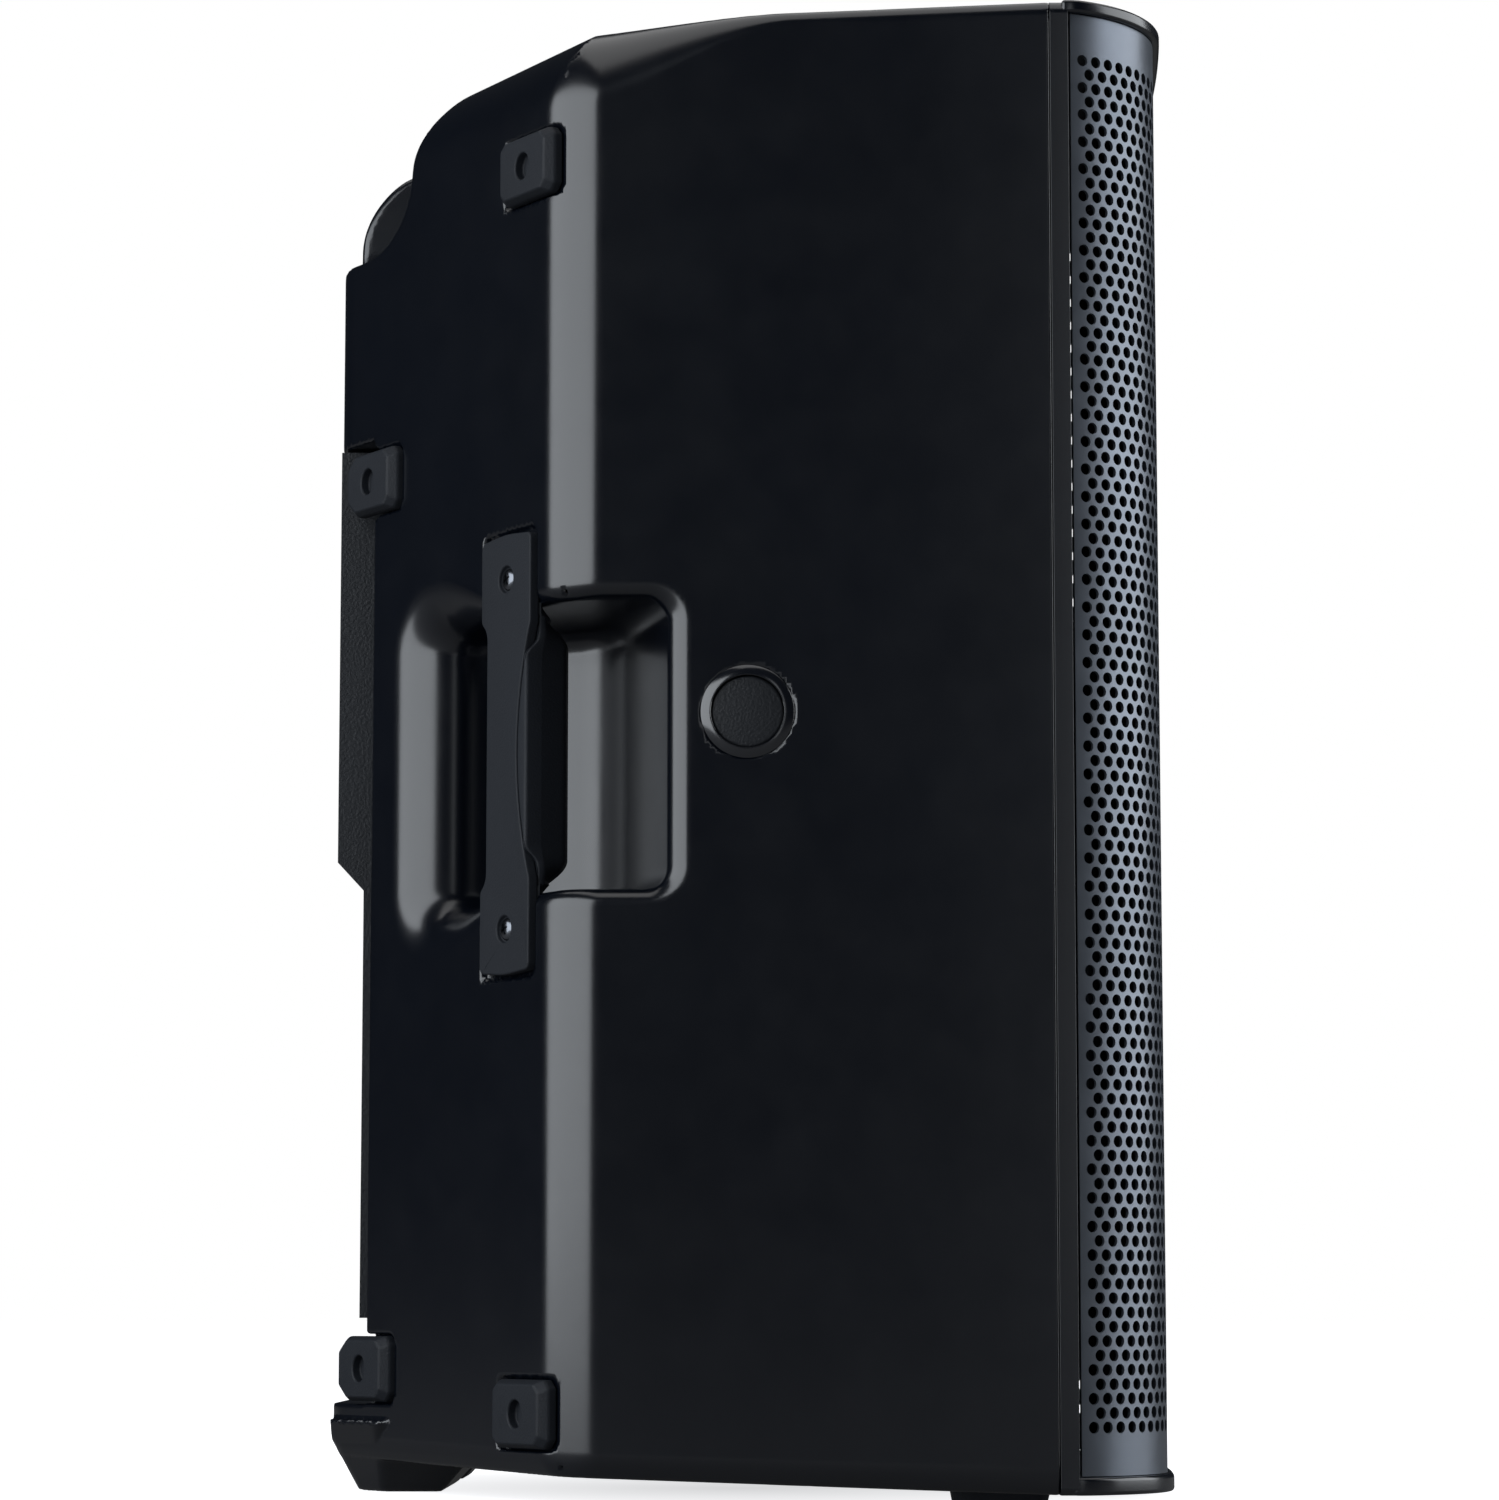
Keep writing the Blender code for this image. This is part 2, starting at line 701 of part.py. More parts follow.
def compression_driver():
    place = facing_front(0, BEZEL_Y, HORN_Z)
    turned("horn_driver_magnet", [(45, -103), (45, -138), (13, -138), (13, -103)], "magnet", place)
    turned(
        "horn_driver_cap",
        [(0, -157), (35, -157), (35, -138.3), (38, -138.3), (38, -160), (0, -160)],
        "black_steel",
        place,
    )
    turned(
        "hf_diaphragm",
        [(0, -150.4), (12, -149.2), (24, -141), (32, -140), (32, -140.8), (23.6, -141.9),
         (11.6, -150), (0, -151.2)],
        "aluminium",
        place,
    )


def port_tubes():
    profile = [(28, 3), (28, GAP), (23, GAP), (23, -100), (20, -100), (20, 3)]
    for side, sign in (("left", -1), ("right", 1)):
        turned(f"port_tube_{side}", profile, "moulded_black",
               facing_front(sign * PORT_X, BEZEL_Y, PORT_Z), 24)


# Handles


def strap_outline():
    """A strap with full-width pads round its screws and a narrower waist over the hand pocket."""
    end = STRAP_LENGTH / 2
    half_pad = STRAP_WIDTH / 2
    half_waist = STRAP_WAIST / 2
    pad_inner = 55.0
    waist_outer = 44.0
    upper = [
        (-end, half_pad, 4),
        (-pad_inner, half_pad, 6),
        (-waist_outer, half_waist, 10),
        (waist_outer, half_waist, 10),
        (pad_inner, half_pad, 6),
        (end, half_pad, 4),
    ]
    lower = [(u, -v, radius) for u, v, radius in reversed(upper)]
    return rounded(upper + lower, 3)


def strap_handle(prefix, placement):
    """A strap held by two screws, with a rounded hand grip under its waist."""
    floor = -STRAP_SEAT + GAP
    strap = prism(f"{prefix}_handle_strap", [strap_outline()], floor, floor + 4.5, "rubber", placement)
    hand = box(
        f"{prefix}_handle_grip", (-49, -12.5, -23), (49, 12.5, floor - GAP), "rubber", placement
    )
    round_edges(hand, 8.0, 4)
    for index, sign in enumerate((-1, 1)):
        spot = placement @ Matrix.Translation((sign * STRAP_SCREW_SPACING / 2 * MM, 0, 0))
        head_base = floor + 4.5 - 1.6
        hole = rod(f"{prefix}_screw_hole_{index}", 4.6, head_base - GAP, 10, None, spot)
        cut(strap, hole)
        head = [
            (0, head_base + 1.0), (2.0, head_base + 1.0), (2.4, head_base + 2.3),
            (4.3, head_base + 1.4), (4.3, head_base), (0, head_base),
        ]
        end_name = "first" if sign < 0 else "second"
        turned(f"{prefix}_handle_screw_{end_name}", head, "bright_steel", spot, 20)


# Bumpers, feet and fittings


def bumpers():
    """Rubber blocks with sloping sides and a central screw hole, on the slanting face."""
    base_v, base_u = BUMPER_BASE
    face_v, face_u = BUMPER_FACE
    for name, place in BUMPERS.items():
        shape = bmesh.new()
        bmesh.ops.create_cube(shape, size=1.0)
        for vert in shape.verts:
            outer = vert.co.z > 0
            half_u = (face_u if outer else base_u) / 2
            half_v = (face_v if outer else base_v) / 2
            height = BUMPER_PROUD if outer else GAP - BUMPER_SEAT
            vert.co.x = math.copysign(half_u, vert.co.x) * MM
            vert.co.y = math.copysign(half_v, vert.co.y) * MM
            vert.co.z = height * MM
        mesh = bpy.data.meshes.new(name)
        shape.to_mesh(mesh)
        shape.free()
        bumper = add_object(name, mesh, bumper_frame(*place), "rubber")
        round_edges(bumper, 2.2, 2)
        cut(bumper, rod(f"{name}_hole", 4.2, 0.8, 12, None, bumper_frame(*place), 16))


def foot(name, outline, clearance, splay, finish=None):
    """A foot whose flat sole stands on the floor and whose sides slope out up to the base."""
    shape = prism(name, [outline], 0, BASE_Z, finish)
    centre = sum((Vector(point) for point in outline), Vector((0, 0))) / len(outline)
    for vert in shape.data.vertices:
        x, y = vert.co.x / MM, vert.co.y / MM
        if vert.co.z > BASE_Z * MM / 2:
            vert.co.x = (x + (x - centre.x) * splay) * MM
            vert.co.y = (y + (y - centre.y) * splay) * MM
            vert.co.z = (base_z(vert.co.y / MM) - clearance) * MM
    return shape


def front_feet():
    outline = rounded([(-155, -118.5, 6), (-112, -118.5, 6), (-112, -82, 6), (-155, -82, 6)], 3)
    foot("foot_front_left", outline, GAP, 0.05, "rubber")
    foot("foot_front_right", [(-x, y) for x, y in reversed(outline)], GAP, 0.05, "rubber")


def rear_feet():
    """The two rear feet are wedges moulded in one with the shell."""
    near = rounded([(-28, 130, 4), (32, 170.5, 4), (62, 170.5, 6), (62, 128, 6)], 3)
    far = rounded([(95, 130, 6), (95, 170.5, 6), (136, 170.5, 8), (150, 130, 8)], 3)
    embedded = -2.0
    return [foot("near_foot", near, embedded, 0.16), foot("far_foot", far, embedded, 0.08)]


def mounting_point():
    """The yoke-mount insert in the side, and the ring and cap that cover it."""
    along = -SEAM_Y / SIDE_RUN.y
    centre = SIDE_FACE @ Vector((along * MM, MOUNT_Z * MM, 0))
    outwards = frame(tuple(centre / MM), (-SIDE_RUN.x, -SIDE_RUN.y, 0), (0, 0, 1))
    turned(
        "mount_ring",
        [(16.6, 1.6), (18.3, 0.4), (18.3, -3.5), (14.8, -3.5), (14.8, 0.6)],
        "moulded_black", outwards, 40,
    )
    rod("mount_cap", 14.4, -3.5, 0.4, "rubber", outwards, 32)
    turned("mount_insert", [(9, -4), (9, -7.6), (4.3, -7.6), (4.3, -4)], "bright_steel", outwards)


def pole_cup():
    place = frame((0, 25, 0), (1, 0, 0), (0, 1, 0))
    flange_top = base_z(25 - 30) - 0.8
    turned(
        "pole_cup",
        [(0, 92), (22, 92), (22, flange_top), (30, flange_top), (30, flange_top - 2.5),
         (18, flange_top - 2.5), (18, 88), (0, 88)],
        "moulded_black", place, 28,
    )


# Amplifier module


def amp_chassis():
    """The amplifier's case: a thin lower panel, and above it a deeper housing with a sunk control panel."""
    low_x, high_x = RECESS_STEP_X + 1.0, RECESS_X[1] - 1.0
    low_z, high_z = RECESS_STEP_Z[0] + 0.5, RECESS_Z[1] - 1.0
    wall, rim = 3.0, 6.0
    outline = [
        (RECESS_Y + GAP, low_z),
        (PANEL_Y, low_z),
        (PANEL_Y, HOUSING_Z - 7),
        (HOUSING_Y, HOUSING_Z + 5),
        (HOUSING_Y, high_z),
        (RECESS_Y + GAP, high_z),
    ]
    chassis = prism("amp_chassis", [outline], low_x, high_x, "moulded_black", PROFILE)
    holes = [
        box("amp_hollow", (low_x + wall, RECESS_Y - 5, low_z + wall),
            (high_x - wall, CONTROL_Y - wall, high_z - wall)),
        box("control_recess", (low_x + rim, CONTROL_Y, HOUSING_Z + 18),
            (high_x - rim, HOUSING_Y + 10, high_z - rim)),
    ]
    for name, (x, z, radius) in ROUND_CONTROLS.items():
        rear = facing_rear(x, 0, z)
        holes.append(rod(f"{name}_hole", radius, CONTROL_Y - 10, CONTROL_Y + 5, None, rear, 16))
    for name, (x, z, half_u, half_v, face) in SQUARE_FITTINGS.items():
        rear = facing_rear(x, 0, z)
        outline = rectangle(half_u + GAP, half_v + GAP, 1.5)
        holes.append(prism(f"{name}_hole", [outline], face - 10, face + 5, None, rear))
    for index in range(5):
        z = 118 + index * 12
        holes.append(box(f"vent_{index}", (0, PANEL_Y - 10, z), (56, PANEL_Y + 5, z + 5)))
    cut(chassis, *holes)


# name: (x, z, radius of its hole)
ROUND_CONTROLS = {
    "gain_knob_a": (10.0, 352.0, 4.0),
    "gain_knob_b": (55.0, 352.0, 4.0),
    "gain_knob_c": (100.0, 352.0, 4.0),
    "menu_encoder": (118.0, 405.0, 4.0),
    "menu_button_left": (8.0, 418.0, 4.6),
    "menu_button_right": (8.0, 394.0, 4.6),
}
# name: (x, z, half width, half height, Y of the face it sits in)
SQUARE_FITTINGS = {
    "display_lens": (60.0, 406.0, 32.0, 17.0, CONTROL_Y),
    "input_jack_a": (10.0, 304.0, 13.0, 15.0, CONTROL_Y),
    "input_jack_b": (55.0, 304.0, 13.0, 15.0, CONTROL_Y),
    "output_socket": (100.0, 304.0, 13.0, 15.0, CONTROL_Y),
    "power_inlet": (110.0, 120.0, 15.0, 12.0, PANEL_Y),
    "power_switch_frame": (110.0, 160.0, 12.0, 8.0, PANEL_Y),
}


def controls():
    place = {name: facing_rear(x, 0, z) for name, (x, z, _) in ROUND_CONTROLS.items()}
    for name in ("gain_knob_a", "gain_knob_b", "gain_knob_c"):
        turned_knob(name, place[name], 7.0)
    face = CONTROL_Y
    rod("menu_encoder_shaft", 3.0, face - 12, face + 3, "aluminium", place["menu_encoder"], 16)
    skirt = [
        (0, face + 12), (8.6, face + 12), (9.6, face + 11), (9.6, face + 1.5), (3.4, face + 1.5),
        (3.4, face + 8), (0, face + 8),
    ]
    turned("menu_knob", skirt, "rubber", place["menu_encoder"], 20)
    for name in ("menu_button_left", "menu_button_right"):
        rod(name, 4.2, face - 6, face + 2.0, "rubber", place[name], 20)


def turned_knob(name, placement, radius):
    """A control knob with a shaft into the case and a flat on its rim that marks where it points."""
    face = CONTROL_Y
    profile = [
        (0, face + 11), (radius - 0.8, face + 11), (radius, face + 10), (radius, face + 1.5),
        (3.2, face + 1.5), (3.2, face - 10), (0, face - 10),
    ]
    knob = turned(name, profile, "rubber", placement, 16)
    cut(knob, box(f"{name}_mark", (-0.6, radius - 3, face + 10.2), (0.6, radius + 2, face + 14),
                  None, placement))


def square_fitting(name, finish, low, high):
    x, z, half_u, half_v, face = SQUARE_FITTINGS[name]
    outline = rectangle(half_u, half_v, 1.5)
    return prism(name, [outline], face + low, face + high, finish, facing_rear(x, 0, z))


def sockets():
    square_fitting("display_lens", "glass", -2.5, -0.4)
    for name in ("input_jack_a", "input_jack_b", "output_socket"):
        x, z, _, _, face = SQUARE_FITTINGS[name]
        socket = square_fitting(name, "black_steel", -20, 0.6)
        bore = rod(f"{name}_bore", 9.5, face - 15, face + 5, None, facing_rear(x, 0, z - 3), 28)
        cut(socket, bore)
        if name != "output_socket":
            latch_room = box(f"{name}_latch_room", (-3.5, 8.5, face - 8), (3.5, 13.5, face + 3),
                             None, facing_rear(x, 0, z))
            cut(socket, latch_room)
            box(name.replace("input_jack", "jack_latch"), (-3.2, 8.8, face - 4.5),
                (3.2, 13.2, face + 1.6), "bright_steel", facing_rear(x, 0, z))
    inlet = square_fitting("power_inlet", "moulded_black", -14, 0.6)
    x, z, _, _, face = SQUARE_FITTINGS["power_inlet"]
    cut(inlet, box("inlet_bore", (-11, -8, face - 11), (11, 8, face + 3), None,
                   facing_rear(x, 0, z)))
    surround = square_fitting("power_switch_frame", "moulded_black", -10, 0.6)
    x, z, _, _, face = SQUARE_FITTINGS["power_switch_frame"]
    cut(surround, box("switch_room", (-9.5, -5.5, face - 20), (9.5, 5.5, face + 3), None,
                      facing_rear(x, 0, z)))
    power_rocker(x, z, face)


def power_rocker(x, z, face):
    """A rocker with a shallow V across its face, pivoting on an upright axis behind the panel."""
    profile = [
        (-8.6, 1.0), (0, -1.2), (8.6, 3.4), (7.0, -2.0), (3.5, -8.0), (-3.5, -8.0), (-7.0, -3.0),
    ]
    outline = [(ROCKER_DEPTH + out, across) for across, out in profile]
    side_view = frame((x, face - ROCKER_DEPTH, z), (0, 1, 0), (-1, 0, 0))
    prism("power_rocker", [outline[::-1]], -4.9, 4.9, "black_steel", side_view)


def amp_internals():
    box("amp_board", *BOARD, "board")
    heatsink = box("amp_heatsink", *HEATSINK, "aluminium")
    first_x, spacing, width, depth, count = HEATSINK_SLOTS
    _, front_y, low_z = HEATSINK[0]
    high_z = HEATSINK[1][2]
    for index in range(count):
        low_x = first_x + index * spacing
        cut(heatsink, box(f"fin_slot_{index}", (low_x, front_y - 2, low_z - 6),
                          (low_x + width, front_y + depth, high_z + 10)))
    box("power_supply", *POWER_SUPPLY, "board", UPRIGHT, 2.0)
    fan()


def fan():
    """A square frame with a round duct, and a hub whose blades are set at an angle to the air."""
    low_y, high_y = FAN_Y
    place = facing_rear(FAN_CENTRE[0], 0, FAN_CENTRE[1])
    ring = prism(
        "fan_frame", [rectangle(FAN_HALF_SIZE, FAN_HALF_SIZE, 4)], low_y, high_y, "moulded_black", place
    )
    cut(ring, rod("fan_duct", FAN_DUCT_RADIUS, low_y - 5, high_y + 5, None, place, 32))
    hub = rod("fan_rotor", 9, low_y + 2, high_y - 2, "moulded_black", place, 20)
    blades = []
    for index in range(FAN_BLADES):
        turn = Matrix.Rotation(2 * math.pi * index / FAN_BLADES, 4, "Z")
        pitch = Matrix.Rotation(math.radians(BLADE_PITCH), 4, "X")
        centre = Matrix.Translation((0, 0, (low_y + high_y) / 2 * MM))
        blades.append(box(f"blade_{index}", (6, -6, -0.7), (22.5, 6, 0.7), None,
                          place @ centre @ turn @ pitch))
    combine(hub, "UNION", *blades)


def start_empty():
    for obj in list(bpy.data.objects):
        bpy.data.objects.remove(obj)
    bpy.context.scene.collection.children.link(PARTS)
    bpy.context.scene.collection.children.link(CUTTERS)
    CUTTERS.hide_render = True


def build():
    start_empty()
    rear_shell()
    front_baffle()
    grille()
    grille_foam()
    woofer()
    horn_waveguide()
    compression_driver()
    port_tubes()
    strap_handle("side", side_strap_frame())
    strap_handle("top", top_strap_frame())
    bumpers()
    front_feet()
    mounting_point()
    pole_cup()
    amp_chassis()
    controls()
    sockets()
    amp_internals()


build()
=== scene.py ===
"""Looks of the powered PA loudspeaker cabinet, over the frame of its CAD model.

Lengths below are millimetres in the row frame unless a name says otherwise. X runs across the cabinet,
+Y to the rear and +Z up. Positions are taken from the CAD nodes' boxes; sizes are the cabinet's own.
"""

import math

import bmesh
import bpy
import numpy as np
from mathutils import Matrix, Vector


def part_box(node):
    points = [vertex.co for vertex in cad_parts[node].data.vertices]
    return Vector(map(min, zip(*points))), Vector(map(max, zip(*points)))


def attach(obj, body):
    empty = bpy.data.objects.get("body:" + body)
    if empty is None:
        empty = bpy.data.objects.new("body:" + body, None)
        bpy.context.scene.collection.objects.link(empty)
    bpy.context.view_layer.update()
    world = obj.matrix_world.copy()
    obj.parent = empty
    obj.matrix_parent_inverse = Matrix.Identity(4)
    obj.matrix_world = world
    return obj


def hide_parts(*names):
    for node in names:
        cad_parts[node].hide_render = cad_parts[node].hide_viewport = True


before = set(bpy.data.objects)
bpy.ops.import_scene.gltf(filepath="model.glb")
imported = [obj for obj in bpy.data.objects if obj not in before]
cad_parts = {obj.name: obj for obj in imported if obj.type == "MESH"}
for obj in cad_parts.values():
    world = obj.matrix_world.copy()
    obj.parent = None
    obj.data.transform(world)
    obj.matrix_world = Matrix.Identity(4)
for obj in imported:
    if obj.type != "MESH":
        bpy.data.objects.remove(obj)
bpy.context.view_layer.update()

MM = 0.001


def span(node):
    """The node's lowest and highest corner in millimetres."""
    low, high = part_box(node)
    return [value / MM for value in low], [value / MM for value in high]


SHELL_LOW, SHELL_HIGH = span("rear_shell")
FRONT_LOW, FRONT_HIGH = span("front_baffle")
GRILLE_LOW, GRILLE_HIGH = span("grille")
STRAP_LOW, STRAP_HIGH = span("side_handle_strap")
CHASSIS_LOW, CHASSIS_HIGH = span("amp_chassis")

LEFT = FRONT_LOW[0]
RIGHT = FRONT_HIGH[0]
SEAM = SHELL_LOW[1]
REAR = SHELL_HIGH[1]
TOP = FRONT_HIGH[2]
BASE = FRONT_LOW[2]
TAPER = 0.035

RIDGE = np.array([LEFT + 4.4, SEAM + 195.15])
EAR = np.array([LEFT + 153.0, REAR])
FAR_REAR = np.array([RIGHT - 28.0, REAR])
FAR_SIDE = np.array([RIGHT - 3.6, SEAM + 249.65])
LEFT_FRONT = np.array([LEFT, SEAM])
RIGHT_FRONT = np.array([RIGHT, SEAM])

SLANT = (EAR - RIDGE) / np.linalg.norm(EAR - RIDGE)
SLANT_OUT = np.array([-SLANT[1], SLANT[0]])
SIDE = (RIDGE - LEFT_FRONT) / np.linalg.norm(RIDGE - LEFT_FRONT)

BUMPERS = ("bumper_upper_front", "bumper_lower_front", "bumper_upper_rear", "bumper_lower_rear")


def middle(node):
    low, high = span(node)
    return np.array([(a + b) / 2 for a, b in zip(low, high)])


def on_slant(point, proud=0.0):
    """The point's foot on the slanting face's plane, moved out by proud."""
    offset = point[:2] - RIDGE
    along = offset @ SLANT
    plan = RIDGE + SLANT * along + SLANT_OUT * proud
    return np.array([plan[0], plan[1], point[2]])


# Placements


def placement(origin, x_axis, y_axis):
    """A matrix with the two axes given and their cross product as the third. The origin is in mm."""
    x = Vector(x_axis).normalized()
    y = Vector(y_axis).normalized()
    rotation = Matrix((x, y, x.cross(y))).transposed().to_4x4()
    return Matrix.Translation(Vector([float(value) for value in origin]) * MM) @ rotation


def slant_placement(node):
    """u runs rearwards along the slanting face, v down, and the third axis out of the cabinet."""
    return placement(on_slant(middle(node)), (SLANT[0], SLANT[1], 0), (0, 0, -1))


# Materials


def node_of(tree, kind, **values):
    made = tree.nodes.new(kind)
    for name, value in values.items():
        setattr(made, name, value)
    return made


def finish(name, colour, roughness, metallic=0.0, grain=0.05, grain_scale=1500.0, wear=0.05,
           tint=0.12, specular=0.5, streaks=None):
    """A surface with grain as bump, faint mottling of its colour, and handling marks in its gloss."""
    material = bpy.data.materials.new(name)
    material.use_nodes = True
    tree = material.node_tree
    shader = tree.nodes["Principled BSDF"]
    shader.inputs["Metallic"].default_value = metallic
    shader.inputs["Specular IOR Level"].default_value = specular
    where = node_of(tree, "ShaderNodeTexCoord")
    source = where.outputs["Object"]
    if streaks:
        stretch = node_of(tree, "ShaderNodeMapping")
        stretch.inputs["Scale"].default_value = streaks
        tree.links.new(source, stretch.inputs["Vector"])
        source = stretch.outputs["Vector"]
    mottling = node_of(tree, "ShaderNodeTexNoise")
    mottling.inputs["Scale"].default_value = 9.0
    mottling.inputs["Detail"].default_value = 6.0
    mottling.inputs["Roughness"].default_value = 0.6
    tree.links.new(source, mottling.inputs["Vector"])
    ramp = node_of(tree, "ShaderNodeValToRGB")
    ramp.color_ramp.elements[0].position = 0.3
    ramp.color_ramp.elements[1].position = 0.7
    ramp.color_ramp.elements[0].color = (*[c * (1 - tint) for c in colour], 1)
    ramp.color_ramp.elements[1].color = (*[c * (1 + tint) for c in colour], 1)
    tree.links.new(mottling.outputs["Fac"], ramp.inputs["Fac"])
    tree.links.new(ramp.outputs["Color"], shader.inputs["Base Color"])
    marks = node_of(tree, "ShaderNodeTexNoise")
    marks.inputs["Scale"].default_value = 38.0
    marks.inputs["Detail"].default_value = 9.0
    marks.inputs["Roughness"].default_value = 0.7
    tree.links.new(source, marks.inputs["Vector"])
    gloss = node_of(tree, "ShaderNodeMapRange")
    gloss.inputs["From Min"].default_value = 0.3
    gloss.inputs["From Max"].default_value = 0.7
    gloss.inputs["To Min"].default_value = max(roughness - wear, 0.02)
    gloss.inputs["To Max"].default_value = roughness + wear
    tree.links.new(marks.outputs["Fac"], gloss.inputs["Value"])
    tree.links.new(gloss.outputs["Result"], shader.inputs["Roughness"])
    if grain:
        cells = node_of(tree, "ShaderNodeTexNoise")
        cells.inputs["Scale"].default_value = grain_scale
        cells.inputs["Detail"].default_value = 2.0
        tree.links.new(source, cells.inputs["Vector"])
        bump = node_of(tree, "ShaderNodeBump")
        bump.inputs["Strength"].default_value = grain
        bump.inputs["Distance"].default_value = 0.0003
        tree.links.new(cells.outputs["Fac"], bump.inputs["Height"])
        tree.links.new(bump.outputs["Normal"], shader.inputs["Normal"])
    return material


FINISHES = {
    "moulded_black": finish(
        "moulded_black", (0.0011, 0.0022, 0.0050), 0.22, grain=0.03, wear=0.02, specular=0.8),
    "gloss_black": finish(
        "gloss_black", (0.004, 0.005, 0.008), 0.16, grain=0.02, wear=0.02, specular=1.0),
    "textured_black": finish(
        "textured_black", (0.0075, 0.009, 0.012), 0.5, grain=0.9, grain_scale=900.0, specular=0.35),
    "screw_steel": finish("screw_steel", (0.17, 0.18, 0.20), 0.22, 1.0, grain=0.05),
    "rubber": finish(
        "rubber", (0.0105, 0.0128, 0.0175), 0.58, grain=0.5, grain_scale=1100.0, specular=0.30),
    "grille_paint": finish("grille_paint", (0.13, 0.145, 0.17), 0.36, 0.8, grain=0.10, grain_scale=1800.0),
    "bright_steel": finish("bright_steel", (0.50, 0.52, 0.55), 0.24, 1.0, grain=0.05, streaks=(1, 1, 9)),
    "black_steel": finish("black_steel", (0.020, 0.023, 0.028), 0.26, 0.6, grain=0.08),
    "foam": finish("foam", (0.004, 0.004, 0.005), 0.95, grain=1.0, grain_scale=700.0, specular=0.1),
    "paper": finish("paper", (0.020, 0.020, 0.022), 0.85, grain=0.6, grain_scale=500.0, specular=0.2),
    "magnet": finish("magnet", (0.070, 0.070, 0.076), 0.45, 0.6, grain=0.1),
    "aluminium": finish("aluminium", (0.55, 0.56, 0.58), 0.34, 1.0, grain=0.05, streaks=(1, 1, 14)),
    "board": finish("board", (0.012, 0.100, 0.040), 0.45, grain=0.2, grain_scale=260.0),
    "glass": finish("glass", (0.006, 0.010, 0.018), 0.07, grain=0.0, wear=0.03),
}


def dress(obj, slot, body="cabinet", instead_of=(), look=None):
    """Gives a new piece its finish and its body, and hides the CAD nodes that it stands for."""
    obj.data.materials.clear()
    obj.data.materials.append(FINISHES[look or slot])
    if instead_of:
        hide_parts(*instead_of)
    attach(obj, body)
    return obj


# Making pieces


def mesh_object(name, points, faces, matrix=None, smooth=True):
    """A piece from points in millimetres, in the placement given by matrix."""
    mesh = bpy.data.meshes.new(name)
    mesh.from_pydata([tuple(np.array(p) * MM) for p in points], [], faces)
    mesh.update()
    if smooth:
        mesh.shade_smooth()
    obj = bpy.data.objects.new(name, mesh)
    if matrix is not None:
        obj.matrix_world = matrix
    bpy.context.scene.collection.objects.link(obj)
    return obj


def soften(obj, width, segments=2, angle=35.0):
    """Rounds an object's hard edges and keeps its flats flat in the light."""
    bevel = obj.modifiers.new("softened_edges", "BEVEL")
    bevel.width = width * MM
    bevel.segments = segments
    bevel.limit_method = "ANGLE"
    bevel.angle_limit = math.radians(angle)
    bevel.harden_normals = False
    obj.data.shade_smooth()
    weighted = obj.modifiers.new("flat_light", "WEIGHTED_NORMAL")
    weighted.keep_sharp = True
    return obj


def split_edges(obj, angle=38.0):
    obj.data.shade_smooth()
    split = obj.modifiers.new("hard_edges", "EDGE_SPLIT")
    split.split_angle = math.radians(angle)
    return obj


def rounded(corners, steps=8):
    """An outline whose corners, each (u, v, radius), become arcs."""
    outline = []
    count = len(corners)
    for index, (u, v, radius) in enumerate(corners):
        corner = Vector((u, v))
        if radius <= 0:
            outline.append((u, v))
            continue
        before = (Vector(corners[index - 1][:2]) - corner).normalized()
        after = (Vector(corners[(index + 1) % count][:2]) - corner).normalized()
        half = before.angle(after) / 2
        centre = corner + (before + after).normalized() * radius / math.sin(half)
        first = corner + before * radius / math.tan(half) - centre
        sweep = first.angle_signed(corner + after * radius / math.tan(half) - centre)
        for step in range(steps + 1):
            spoke = Matrix.Rotation(-sweep * step / steps, 2) @ first
            outline.append(tuple(centre + spoke))
    return outline


def plate(name, outline, low, high, matrix, edge=0.0, segments=3, holes=()):
    """An outline raised between two heights, with its edges rounded and holes sunk into its upper face."""
    count = len(outline)
    points = [(u, v, low) for u, v in outline] + [(u, v, high) for u, v in outline]
    faces = [tuple(range(count))[::-1], tuple(range(count, 2 * count))]
    for index in range(count):
        following = (index + 1) % count
        faces.append((index, following, following + count, index + count))
    obj = mesh_object(name, points, faces, matrix)
    turn_outwards(obj)
    for number, (u, v, radius, floor) in enumerate(holes):
        profile = [(0, high + 9), (radius, high + 9), (radius, floor), (0, floor)]
        spot = matrix @ Matrix.Translation((u * MM, v * MM, 0))
        carve(obj, lathe(f"{name}_cutter_{number}", profile, spot, 32))
    if edge:
        soften(obj, edge, segments)
    return obj


def turn_outwards(obj):
    shape = bmesh.new()
    shape.from_mesh(obj.data)
    bmesh.ops.recalc_face_normals(shape, faces=shape.faces)
    shape.to_mesh(obj.data)
    shape.free()


def carve(obj, cutter):
    """Takes the cutter's shape out of the object, and removes the cutter."""
    boolean = obj.modifiers.new(cutter.name, "BOOLEAN")
    boolean.operation = "DIFFERENCE"
    boolean.solver = "EXACT"
    boolean.object = cutter
    bpy.context.view_layer.update()
    graph = bpy.context.evaluated_depsgraph_get()
    mesh = bpy.data.meshes.new_from_object(obj.evaluated_get(graph))
    obj.modifiers.remove(boolean)
    obj.data = mesh
    bpy.data.objects.remove(cutter)


